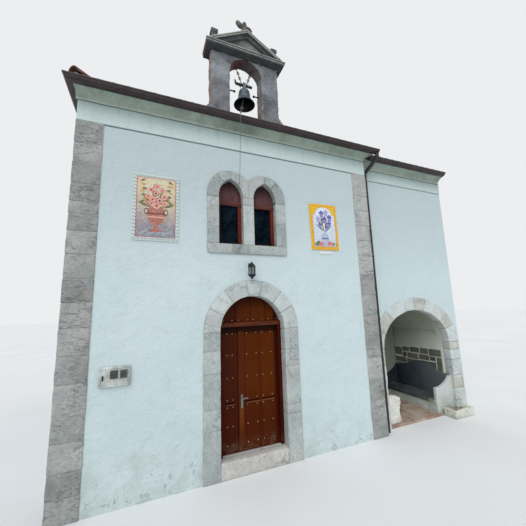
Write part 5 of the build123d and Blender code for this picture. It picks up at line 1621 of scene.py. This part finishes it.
# ---------------------------------------------------------------- door fittings
rows = (2.182, 1.82, 1.445, 1.088, 0.975, 0.674, 0.384)
for name, body, columns in (
    ("studs_left_leaf", "left_leaf", (-0.428, -0.331)),
    ("studs_right_leaf", "right_leaf", (-0.066, 0.113, 0.231, 0.406)),
):
    bag = Bag()
    for z in rows:
        for x in columns:
            dome(bag, (x, 0.1985, z), 0.0085, 0.006)
    bag.make(name, ["stud"], "handle_metal", body)
bag = Bag()
for x in (-0.493, -0.335, -0.216, -0.04, 0.065, 0.252, 0.361, 0.524):
    dome(bag, (x, 0.1805, 2.414), 0.0085, 0.006)
bag.make("studs_over_transom", ["stud"], "handle_metal")


def panel_mouldings(name, body, spans, levels):
    """Bevelled mouldings round the sunk panels, and a rounded board along each middle rail."""
    bag = Bag()
    for x0, x1 in spans:
        for z0, z1 in levels:
            w, y = 0.014, 0.1975
            for a, b, c, d in (
                ((x0, z0), (x1, z0), (x1 - w, z0 + w), (x0 + w, z0 + w)),
                ((x1, z0), (x1, z1), (x1 - w, z1 - w), (x1 - w, z0 + w)),
                ((x1, z1), (x0, z1), (x0 + w, z1 - w), (x1 - w, z1 - w)),
                ((x0, z1), (x0, z0), (x0 + w, z0 + w), (x0 + w, z1 - w)),
            ):
                verts = [(p[0], y + 0.001, p[1]) for p in (a, b, c, d)]
                verts += [(a[0], y - 0.009, a[1]), (b[0], y - 0.009, b[1]), (c[0], y - 0.001, c[1]),
                    (d[0], y - 0.001, d[1])]
                faces = [(0, 1, 2, 3), (4, 5, 6, 7), (0, 1, 5, 4), (1, 2, 6, 5), (2, 3, 7, 6), (3, 0, 4, 7)]
                bag.add(verts, faces, 0)
        m0, m1 = levels[0][1], levels[1][0]
        slab(bag, rect(x0, x1, m0 + 0.012, m1 - 0.012), 0.1825, 0.192, 0, 0.005)
        # a dark strip above the bead on each middle rail: a painted shadow line
        slab(bag, rect(x0, x1, m1 - 0.026, m1 - 0.01), 0.1815, 0.19, 2, 0.001)
    bag.make(name, ["door", "rail", "groove_and_shadow"], "door_wood", body, smooth=False)


levels = ((0.35, 1.0), (1.06, 2.212))
panel_mouldings("left_leaf_mouldings", "left_leaf", ((-0.456, -0.3),), levels)
wide0 = -0.232
wp = (0.754 - 0.066 - 0.12 - 0.06) / 2
panel_mouldings(
    "right_leaf_mouldings",
    "right_leaf",
    ((wide0 + 0.12, wide0 + 0.12 + wp), (wide0 + 0.18 + wp, wide0 + 0.18 + 2 * wp)),
    levels,
)
# Rail over the leaves, rounded and standing out
bag = Bag()
swept(bag, [(-0.594, 0.129), (0.594, 0.129)],
      [(-0.002, 2.305), (0.004, 2.305), (0.012, 2.312), (0.012, 2.33), (0.003, 2.342), (0.006, 2.36), (0.002, 2.378),
      (-0.002, 2.378)])
for x in (-0.275, 0.012, 0.306):
    head = 2.24 + math.sqrt(0.585**2 - x**2)
    slab(bag, rect(x - 0.003, x + 0.003, 2.384, head), 0.1795, 0.183, 1, 0.0005, "xz", 1)
bag.make("transom_moulding", ["transom", "groove_and_shadow"], "door_wood")

# Stile by the handle, dark but for a painted lit strip; beads on the middle rail painted in a highlight colour; a
# dark groove between the panels
BEAD_FOOT = 1.004
bead = [(-0.002, 0), (0.004, 0), (0.008, 0.004), (0.009, 0.01), (0.006, 0.018), (-0.002, 0.02)]
bead = [(o, BEAD_FOOT + h) for o, h in bead]
bag = Bag()
slab(bag, rect(-0.226, -0.122, 0.34, 2.22), 0.1893, 0.193, 0, 0.0005, "xz", 1)
for x0, x1 in ((-0.108, 0.166), (0.186, 0.446)):
    swept(bag, [(x0, 0.1825), (x1, 0.1825)], bead, 1)
slab(bag, rect(0.1715, 0.1785, 0.34, 2.22), 0.1893, 0.193, 2, 0.0005, "xz", 1)
bag.make("right_leaf_stile", ["door_pale", "rail", "groove_and_shadow"], "door_wood", "right_leaf", smooth=False)
bag = Bag()
swept(bag, [(-0.452, 0.1825), (-0.304, 0.1825)], bead, 0)
bag.make("left_leaf_beads", ["rail"], "door_wood", "left_leaf", smooth=False)

# ---------------------------------------------------------------- lantern under its hook
LX, LY = -0.06, -0.15
foot, top = 3.113, 3.425


def hexagon(r, z):
    return [(LX + r * math.cos(math.radians(60 * i)), LY + r * math.sin(math.radians(60 * i)), z) for i in range(6)]


bag = Bag()
for rings, mat in (
    ([(0.003, foot), (0.012, foot + 0.012), (0.03, foot + 0.034), (0.066, foot + 0.066), (0.074, foot + 0.072),
    (0.074, foot + 0.084), (0.062, foot + 0.09)], 0),
    ([(0.066, top - 0.096), (0.0745, top - 0.092), (0.073, top - 0.08), (0.05, top - 0.052), (0.026, top - 0.026),
    (0.012, top - 0.012), (0.009, top)], 0),
    ([(0.059, foot + 0.086), (0.059, top - 0.094)], 1),
):
    verts = [p for r, z in rings for p in hexagon(r, z)]
    ends = [list(range(6))[::-1], list(range(len(verts) - 6, len(verts)))]
    bag.add(verts, tube(len(rings), 6) + ends, mat)
for i in range(6):
    a0, a1 = hexagon(0.0625, foot + 0.082)[i], hexagon(0.0625, top - 0.092)[i]
    d = Vector((a0[0] - LX, a0[1] - LY, 0)).normalized()
    t = Vector((-d.y, d.x, 0))
    verts = []
    for p in (a0, a1):
        p = Vector(p)
        verts += [p + t * 0.008, p + d * 0.005, p - t * 0.008, p - d * 0.004]
    bag.add(verts, [(0, 1, 5, 4), (1, 2, 6, 5), (2, 3, 7, 6), (3, 0, 4, 7), (0, 3, 2, 1), (4, 5, 6, 7)], 0)
stone(bag, *block_at(LX - 0.012, LX + 0.012, -0.008, -0.001, 3.38, 3.42), 0.03, 0.003, 0.0)
arm = spline_points([(LX, -0.006, 3.404), (LX, -0.06, 3.4), (LX, -0.11, 3.402), (LX, LY, 3.418)], 8)
strands(bag, arm, 0.006, 1, 0.02, 2, 8)
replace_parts(bag.make("lantern_cage", ["lamp", "lamp_glass"], "iron", smooth=False), "lantern")

# ---------------------------------------------------------------- meter box
X0, X1, Z0, Z1 = -2.326, -1.924, 1.59, 1.86


def rounded(x0, x1, z0, z1, r, n=4):
    pts = []
    for cx, cz, a in ((x1 - r, z1 - r, 0), (x0 + r, z1 - r, 90), (x0 + r, z0 + r, 180), (x1 - r, z0 + r, 270)):
        for k in range(n + 1):
            t = math.radians(a + 90 * k / n)
            pts.append((cx + r * math.cos(t), cz + r * math.sin(t)))
    return pts


def rim(bag, x0, x1, z0, z1, w, y0, y1, mats):
    """A mitred frame: top, right, foot, left."""
    corners = rect(x0, x1, z1, z0)
    inner = rect(x0 + w, x1 - w, z1 - w, z0 + w)
    for k in range(4):
        k2 = (k + 1) % 4
        slab(bag, [corners[k], corners[k2], inner[k2], inner[k]], y0, y1, mats[k], 0.0012, "xz", 1)


bag = Bag()
slab(bag, rounded(X0, X1, Z0, Z1, 0.012), -0.0385, -0.0005, 0, 0.004)
rim(bag, X0 + 0.003, X1 - 0.003, Z0 + 0.003, Z1 - 0.003, 0.02, -0.0445, -0.037, (1, 0, 0, 1))
rim(bag, X0 + 0.03, X1 - 0.03, Z0 + 0.03, Z1 - 0.03, 0.004, -0.0405, -0.037, (1, 0, 1, 0))
for (a, b, c, d), mat in (((0.143, 0.245, 0.05, 0.165), 2), ((0.268, 0.367, 0.05, 0.168), 3)):
    x0, x1, z1, z0 = X0 + a, X0 + b, Z1 - c, Z1 - d
    rim(bag, x0 - 0.008, x1 + 0.008, z0 - 0.008, z1 + 0.008, 0.008, -0.0425, -0.037, (1, 1, 1, 1))
    slab(bag, rect(x0, x1, z0, z1), -0.0392, -0.037, mat, 0.001, "xz", 1)
    if mat == 3:
        slab(bag, rect(x0 + 0.02, x1 - 0.02, z0 + 0.016, z1 - 0.016), -0.0398, -0.038, 2, 0.001, "xz", 1)
slab(bag, rounded(X0 + 0.041, X0 + 0.065, Z1 - 0.181, Z1 - 0.112, 0.006), -0.0396, -0.037, 4, 0.0008, "xz", 1)
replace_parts(bag.make("meter_case", ["meter", "meter_rim", "meter_dark", "meter_pale", "meter_slot"],
    "meter_plastic"), "meter_box")

# ---------------------------------------------------------------- painted tile panels
GLAZES = {
    "edge": [(224, 230, 222), (204, 214, 208)],
    "sea": [(92, 134, 138), (72, 112, 122)],
    "violet": [(142, 130, 160), (120, 108, 146)],
    "line": [(186, 84, 84), (160, 70, 74)],
    "urn": [(150, 92, 88), (178, 116, 100), (204, 150, 128)],
    "urn_dark": [(104, 62, 62), (128, 80, 74)],
    "rose": [(206, 116, 118), (226, 158, 150), (190, 92, 98)],
    "blush": [(232, 190, 172), (222, 164, 150)],
    "leaf": [(128, 132, 88), (96, 108, 76)],
    "ochre": [(206, 168, 104), (184, 142, 84)],
    "mist": [(150, 160, 170), (176, 184, 190)],
    "yellow": [(240, 196, 52), (232, 178, 34)],
    "orange": [(226, 146, 40), (206, 122, 36)],
    "iris": [(92, 96, 168), (118, 112, 186), (72, 78, 146)],
    "iris_pale": [(152, 152, 212), (178, 176, 224)],
    "olive": [(126, 134, 92), (92, 106, 72)],
    "pink": [(222, 134, 150), (200, 104, 128)],
    "vase": [(196, 208, 222), (148, 168, 202), (226, 232, 236)],
    "white": [(236, 240, 240), (214, 226, 234)],
}
for key, colours in GLAZES.items():
    M["g_" + key] = glaze("glaze_" + key, colours)


def field_glaze(name, centre, half, stops, glow, left, joint, origin):
    """The picture's ground: bands of colour by height, a glow in the middle, and tile joints."""
    s = Shader(name, 0.22)
    s.bsdf.inputs["Specular IOR Level"].default_value = 0.35
    wob = s.mul(s.math("SUBTRACT", s.noise(5, 5, 0.6, 1.0), 0.5), half[1] * 0.5)
    c = s.ramp(s.span(s.add(s.axis(2), wob), centre[1] - half[1], centre[1] + half[1]), *stops)
    dx = s.mul(s.math("SUBTRACT", s.axis(0), centre[0]), 1 / half[0])
    dz = s.mul(s.math("SUBTRACT", s.axis(2), centre[1] + half[1] * 0.35), 1 / half[1])
    r = s.math("SQRT", s.add(s.mul(dx, dx), s.mul(dz, dz)))
    c = s.mix(s.ramp(r, (0.25, 0.9), (0.8, 0.0)), c, glow)
    side = s.mul(s.span(dx, -0.2, -0.9), s.span(dz, 0.2, -0.6))
    c = s.mix(s.mul(side, 0.6), c, left)
    stroke = s.noise(16, 5, 0.65, 2.0)
    c = s.mix(s.ramp(stroke, (0.52, 0.0), (0.62, 0.3)), c, (238, 238, 230))
    c = s.mix(s.ramp(stroke, (0.36, 0.35), (0.45, 0.0)), c, (120, 116, 112))
    x = s.math("FRACT", s.mul(s.math("SUBTRACT", s.axis(0), origin[0]), 1 / joint))
    z = s.math("FRACT", s.mul(s.math("SUBTRACT", s.axis(2), origin[1]), 1 / joint))
    near = s.math("MINIMUM", s.math("PINGPONG", x, 0.5), s.math("PINGPONG", z, 0.5))
    line = s.ramp(near, (0.006, 1.0), (0.016, 0.0))
    c = s.mix(s.mul(line, 0.4), c, (124, 120, 110))
    s.color(c)
    s.bumps((line, -0.001), (s.noise(30, 3), 0.0006))
    return s.mat


def placed(points, cx, cz, deg):
    """Points turned about the origin, then moved to a centre."""
    t = math.radians(deg)
    return [(cx + x * math.cos(t) - z * math.sin(t), cz + x * math.sin(t) + z * math.cos(t)) for x, z in points]


def oval(cx, cz, rx, rz, turn=0.0, n=14, wave=0.0, lobes=5):
    pts = []
    for k in range(n):
        a = 2 * math.pi * k / n
        q = 1 + wave * math.cos(lobes * a)
        pts.append((rx * q * math.cos(a), rz * q * math.sin(a)))
    return placed(pts, cx, cz, turn)


def leaf(cx, cz, long, wide, turn, n=6):
    up = [(long * i / n, wide * math.sin(math.pi * i / n)) for i in range(n + 1)]
    return placed(up + [(x, -y) for x, y in up[1:-1][::-1]], cx, cz, turn)


def mirrored(half):
    """An outline from its right half, told upwards."""
    return half + [(-x, z) for x, z in half[::-1]]


class Picture:
    """Painted shapes laid over each other on the face of a panel, drawn about its middle."""

    def __init__(self, bag, names, centre, turn=0.0):
        self.bag, self.names, self.centre, self.turn, self.level = bag, names, centre, turn, 0

    def lay(self, outline, key, front=None, back=-0.0225, bevel=0.0):
        if front is None:
            front = -0.0238 - 0.00006 * self.level
            self.level += 1
        if key not in self.names:
            self.names.append(key)
        slab(self.bag, placed(outline, *self.centre, self.turn), front, back, self.names.index(key), bevel, "xz", 1)


def tile_border(pic, w, h, t, key):
    """Square border tiles; gives each one's place in the grid and its middle."""
    nx, nz, g = round(w / t), round(h / t), 0.0012
    dx, dz = w / nx, h / nz
    tiles = []
    for i in range(nx):
        for k in range(nz):
            if i in (0, nx - 1) or k in (0, nz - 1):
                x, z = -w / 2 + dx * i, -h / 2 + dz * k
                pic.lay(rect(x + g, x + dx - g, z + g, z + dz - g), key, -0.0232, -0.02, 0.0008)
                tiles.append((i, k, x + dx / 2, z + dz / 2))
    return tiles


bag, names = Bag(), ["g_edge"]
cx, cz, w, h = -1.645, 4.283, 0.705, 1.107
M["g_field_l"] = field_glaze(
    "glaze_left_field", (cx, cz), (w / 2, h / 2),
    ((0.0, (128, 140, 148)), (0.22, (142, 138, 146)), (0.5, (196, 180, 158)), (1.0, (216, 190, 146))),
    (206, 216, 188), (150, 134, 146), 0.1465, (cx - 0.293, cz - 0.493),
)
pic = Picture(bag, names, (cx, cz))
pic.lay(rect(-w / 2, w / 2, -h / 2, h / 2), "g_edge", -0.021, -0.0005, 0.002)
for i, k, x, z in tile_border(pic, w - 0.004, h - 0.004, 0.0585, "g_edge"):
    key = ("g_sea", "g_sea", "g_violet")[(i + 2 * k) % 3]
    zig = [(x - 0.026, z - 0.01), (x - 0.009, z + 0.018), (x + 0.009, z - 0.01), (x + 0.026, z + 0.018)]
    pic.lay(zig + [(a, b - 0.014) for a, b in zig[::-1]], key, -0.0236, -0.0225)
fw, fh = 0.588, 0.985
for a, b, c, d in ((-1, -1, 1, -1), (-1, 1, 1, 1), (-1, -1, -1, 1), (1, -1, 1, 1)):
    x0, x1 = a * fw / 2, c * fw / 2
    z0, z1 = b * fh / 2, d * fh / 2
    pic.lay(rect(x0 - 0.008, x1 + 0.008, z0 - 0.008, z1 + 0.008), "g_line", -0.0237, -0.0225)
pic.lay(rect(-fw / 2, fw / 2, -fh / 2, fh / 2), "g_field_l", -0.02375)
pic.level = 2
for k in range(9):
    x = -0.25 + 0.048 * k
    pic.lay(leaf(x, -0.44 + 0.02 * math.sin(k * 2.3), 0.11, 0.012, 20 + 15 * math.sin(k * 1.7)), "g_mist")
for side in (-1, 1):
    for k in range(7):
        x, z = side * (0.25 - 0.012 * (k % 3)), 0.43 - 0.06 * k
        pic.lay(leaf(x, z, 0.085, 0.019, 90 + side * (65 + 14 * (k % 3))), "g_ochre" if k % 2 else "g_leaf")
urn = [(0.1, -0.41), (0.1, -0.385), (0.05, -0.365), (0.028, -0.33), (0.03, -0.305), (0.085, -0.26), (0.132, -0.18),
    (0.145, -0.1), (0.128, -0.04), (0.1, -0.015), (0.122, 0.005), (0.118, 0.02)]
pic.lay(mirrored(urn), "g_urn")
for side in (-1, 1):
    pic.lay(oval(side * 0.148, -0.075, 0.036, 0.058, 0, 16), "g_urn_dark")
    pic.lay(oval(side * 0.15, -0.075, 0.021, 0.04, 0, 16), "g_field_l")
pic.lay([(-0.143, -0.115), (0.143, -0.115), (0.146, -0.095), (-0.146, -0.095)], "g_urn_dark")
pic.lay([(-0.13, -0.172), (0.13, -0.172), (0.136, -0.155), (-0.136, -0.155)], "g_blush")
for x, z, long, turn in (
    (-0.02, 0.02, 0.34, 96), (0.03, 0.03, 0.3, 78), (-0.07, 0.02, 0.26, 122), (0.08, 0.02, 0.24, 56),
    (-0.1, 0.0, 0.2, 158), (0.11, 0.0, 0.19, 24), (-0.04, 0.05, 0.22, 140), (0.05, 0.05, 0.22, 40),
):
    pic.lay(leaf(x, z, long, 0.022, turn), "g_leaf")
for x, z, r, key in (
    (-0.005, 0.36, 0.05, "g_rose"), (-0.09, 0.29, 0.052, "g_blush"), (0.085, 0.3, 0.05, "g_rose"),
    (-0.015, 0.24, 0.058, "g_urn"), (-0.13, 0.18, 0.052, "g_rose"), (0.12, 0.19, 0.054, "g_blush"),
    (-0.06, 0.13, 0.062, "g_rose"), (0.045, 0.12, 0.064, "g_urn"), (-0.125, 0.06, 0.05, "g_urn"),
    (0.125, 0.075, 0.05, "g_rose"), (0.0, 0.03, 0.058, "g_blush"),
):
    pic.lay(oval(x, z, r, r * 0.92, 10 * x, 15, 0.07), key)
    pic.lay(oval(x + 0.004, z + 0.004, r * 0.66, r * 0.6, 30, 15, 0.09), "g_blush" if key != "g_blush" else "g_rose")
    pic.lay(oval(x + 0.002, z, r * 0.34, r * 0.3, 60, 10, 0.1), "g_urn_dark" if key == "g_urn" else "g_line")
for k in range(14):
    a = 2.4 * k
    pic.lay(oval(0.2 * math.cos(a) * (0.6 + 0.03 * k), 0.2 + 0.2 * math.sin(a), 0.012, 0.01, 0, 8),
        ("g_ochre", "g_blush")[k % 2])
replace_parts(bag.make("panel_left", names, "painted_tile", smooth=False), "tile_panels")

bag, names = Bag(), ["g_yellow"]
cx, cz, w, h = 1.612, 4.235, 0.655, 0.967
M["g_field_r"] = field_glaze(
    "glaze_right_field", (cx, cz), (w / 2, h / 2),
    ((0.0, (170, 186, 150)), (0.16, (206, 214, 216)), (0.5, (200, 218, 236)), (1.0, (196, 214, 236))),
    (236, 240, 244), (196, 208, 226), 0.1465, (cx - 0.26, cz - 0.42),
)
pic = Picture(bag, names, (cx, cz), 1.4)
pic.lay(rect(-w / 2, w / 2, -h / 2, h / 2), "g_yellow", -0.021, -0.0005, 0.002)
for i, k, x, z in tile_border(pic, w - 0.004, h - 0.004, 0.0595, "g_yellow"):
    pic.lay(oval(x, z, 0.02, 0.011, 45 if (i + k) % 2 else -45, 10), "g_orange", -0.0236, -0.0225)
fw, fh = 0.532, 0.844
arch = [(-fw / 2, -fh / 2), (fw / 2, -fh / 2), (fw / 2, fh / 2 - 0.17), (fw / 2 - 0.05, fh / 2 - 0.165)]
for k in range(17):
    a = math.pi * k / 16
    arch.append(((fw / 2 - 0.055) * math.cos(a), fh / 2 - 0.165 + 0.165 * math.sin(a)))
arch += [(-fw / 2 + 0.05, fh / 2 - 0.165), (-fw / 2, fh / 2 - 0.17)]
pic.lay([(a * 1.03, b * 1.02) for a, b in arch], "g_orange", -0.0237)
pic.lay(arch, "g_field_r", -0.02375)
pic.level = 2
for k in range(15):
    pic.lay(leaf(-0.25 + 0.035 * k, -0.415, 0.07 + 0.03 * math.sin(k * 1.9), 0.01, 90 + 22 * math.sin(k * 2.1)),
        "g_leaf")
for x, z, r, key in (
    (0.0, -0.33, 0.12, "g_blush"), (-0.1, -0.36, 0.05, "g_pink"), (0.09, -0.345, 0.062, "g_pink"),
    (0.15, -0.375, 0.04, "g_rose"), (-0.17, -0.33, 0.045, "g_leaf"), (-0.2, -0.37, 0.04, "g_olive"),
    (-0.03, -0.375, 0.04, "g_rose"), (0.2, -0.35, 0.03, "g_olive"),
):
    pic.lay(oval(x, z, r, r * 0.7, 12, 18, 0.1, 7), key)
vase = [(0.05, -0.4), (0.06, -0.385), (0.035, -0.37), (0.075, -0.31), (0.088, -0.24), (0.07, -0.17), (0.04, -0.13),
    (0.038, -0.1), (0.056, -0.085)]
pic.lay(mirrored(vase), "g_vase")
pic.lay([(-0.086, -0.26), (0.086, -0.26), (0.088, -0.235), (-0.088, -0.235)], "g_iris")
for x, long, turn in (
    (-0.02, 0.42, 98), (0.015, 0.46, 86), (0.03, 0.36, 68), (-0.03, 0.34, 118), (0.0, 0.3, 108),
    (0.01, 0.28, 76), (-0.03, 0.24, 138), (0.03, 0.22, 44),
):
    pic.lay(leaf(x, -0.1, long, 0.014, turn), "g_olive")
for x, z, r, key in (
    (-0.05, 0.27, 0.085, "g_iris"), (0.06, 0.3, 0.075, "g_iris_pale"), (0.14, 0.19, 0.085, "g_iris"),
    (-0.14, 0.15, 0.07, "g_iris_pale"), (0.01, 0.14, 0.085, "g_iris"), (0.12, 0.06, 0.075, "g_iris"),
    (-0.1, 0.03, 0.062, "g_iris"), (0.05, -0.02, 0.06, "g_iris"),
):
    for turn, k, kk in (
        (90, 1.0, key), (38, 0.85, key), (142, 0.85, key), (-62, 0.95, "g_iris_pale"), (-118, 0.95, "g_iris_pale"),
        (-90, 0.7, key),
    ):
        pic.lay(leaf(x, z, r * k, r * 0.36, turn), kk)
    pic.lay(leaf(x, z, r * 0.5, r * 0.1, -90), "g_yellow")
pic.lay(rect(-0.153, 0.153, -h / 2 - 0.09, -h / 2 - 0.02), "g_white", -0.0118, -0.0005, 0.002)
pic.lay(rect(-0.146, 0.146, -h / 2 - 0.084, -h / 2 - 0.08), "g_orange", -0.0122, -0.011)
pic.lay(rect(-0.146, 0.146, -h / 2 - 0.03, -h / 2 - 0.026), "g_orange", -0.0122, -0.011)
bag.make("panel_right", names, "painted_tile", smooth=False)


# ---------------------------------------------------------------- camera, floor and light
def make_camera():
    yaw, pitch, roll = 0.3995, 0.1577, -0.0304
    fwd = Vector((math.sin(yaw) * math.cos(pitch), math.cos(yaw) * math.cos(pitch), math.sin(pitch)))
    right = Vector((math.cos(yaw), -math.sin(yaw), 0))
    up = right.cross(fwd)
    r = math.cos(roll) * right + math.sin(roll) * up
    u = -math.sin(roll) * right + math.cos(roll) * up
    cam = bpy.data.cameras.new("camera")
    cam.sensor_width = 36
    cam.sensor_fit = "HORIZONTAL"
    cam.lens = 278.287 * 36 / 526
    cam.clip_end = 400
    ob = bpy.data.objects.new("camera", cam)
    ob.matrix_world = Matrix(
        ((r.x, u.x, -fwd.x, -1.7531), (r.y, u.y, -fwd.y, -4.6683), (r.z, u.z, -fwd.z, 2.6289), (0, 0, 0, 1))
    )
    bpy.context.scene.collection.objects.link(ob)
    bpy.context.scene.camera = ob


make_camera()

me = bpy.data.meshes.new("studio_floor")
me.from_pydata([(-90, -90, 0), (90, -90, 0), (90, 90, 0), (-90, 90, 0)], [], [(0, 1, 2, 3)])
floor = bpy.data.objects.new("studio_floor", me)
bpy.context.scene.collection.objects.link(floor)
s = Shader("studio_floor", 0.95)
s.color(s.ramp(s.noise(0.4, 3), (0.3, (226, 227, 228)), (0.7, (232, 233, 234))))
me.materials.append(s.mat)

world = bpy.data.worlds.new("studio")
bpy.context.scene.world = world
world.use_nodes = True
nt = world.node_tree
nt.nodes.clear()
out = nt.nodes.new("ShaderNodeOutputWorld")
plain, pale = nt.nodes.new("ShaderNodeBackground"), nt.nodes.new("ShaderNodeBackground")
plain.inputs[0].default_value = (0.94, 0.97, 1.0, 1)
plain.inputs[1].default_value = 0.62
pale.inputs[0].default_value = srgb(236, 238, 240)
pale.inputs[1].default_value = 1.0
path = nt.nodes.new("ShaderNodeLightPath")
seen = path.outputs["Is Camera Ray"]
for kind in ("Is Glossy Ray", "Is Transmission Ray"):
    either = nt.nodes.new("ShaderNodeMath")
    either.operation = "MAXIMUM"
    nt.links.new(seen, either.inputs[0])
    nt.links.new(path.outputs[kind], either.inputs[1])
    seen = either.outputs[0]
mix = nt.nodes.new("ShaderNodeMixShader")
for value, socket in zip((seen, plain.outputs[0], pale.outputs[0]), mix.inputs):
    nt.links.new(value, socket)
nt.links.new(mix.outputs[0], out.inputs[0])


def sun(name, direction, strength, angle, color=(1, 1, 1)):
    light = bpy.data.lights.new(name, "SUN")
    light.energy = strength
    light.angle = angle
    light.color = color
    ob = bpy.data.objects.new(name, light)
    ob.rotation_euler = Vector(direction).to_track_quat("-Z", "Y").to_euler()
    bpy.context.scene.collection.objects.link(ob)


sun("key", (0.45, 0.75, -0.85), 1.5, 0.9)
sun("fill", (-0.9, -0.5, -0.6), 0.5, 1.2)

bpy.context.scene.view_settings.view_transform = "Standard"
bpy.context.view_layer.update()
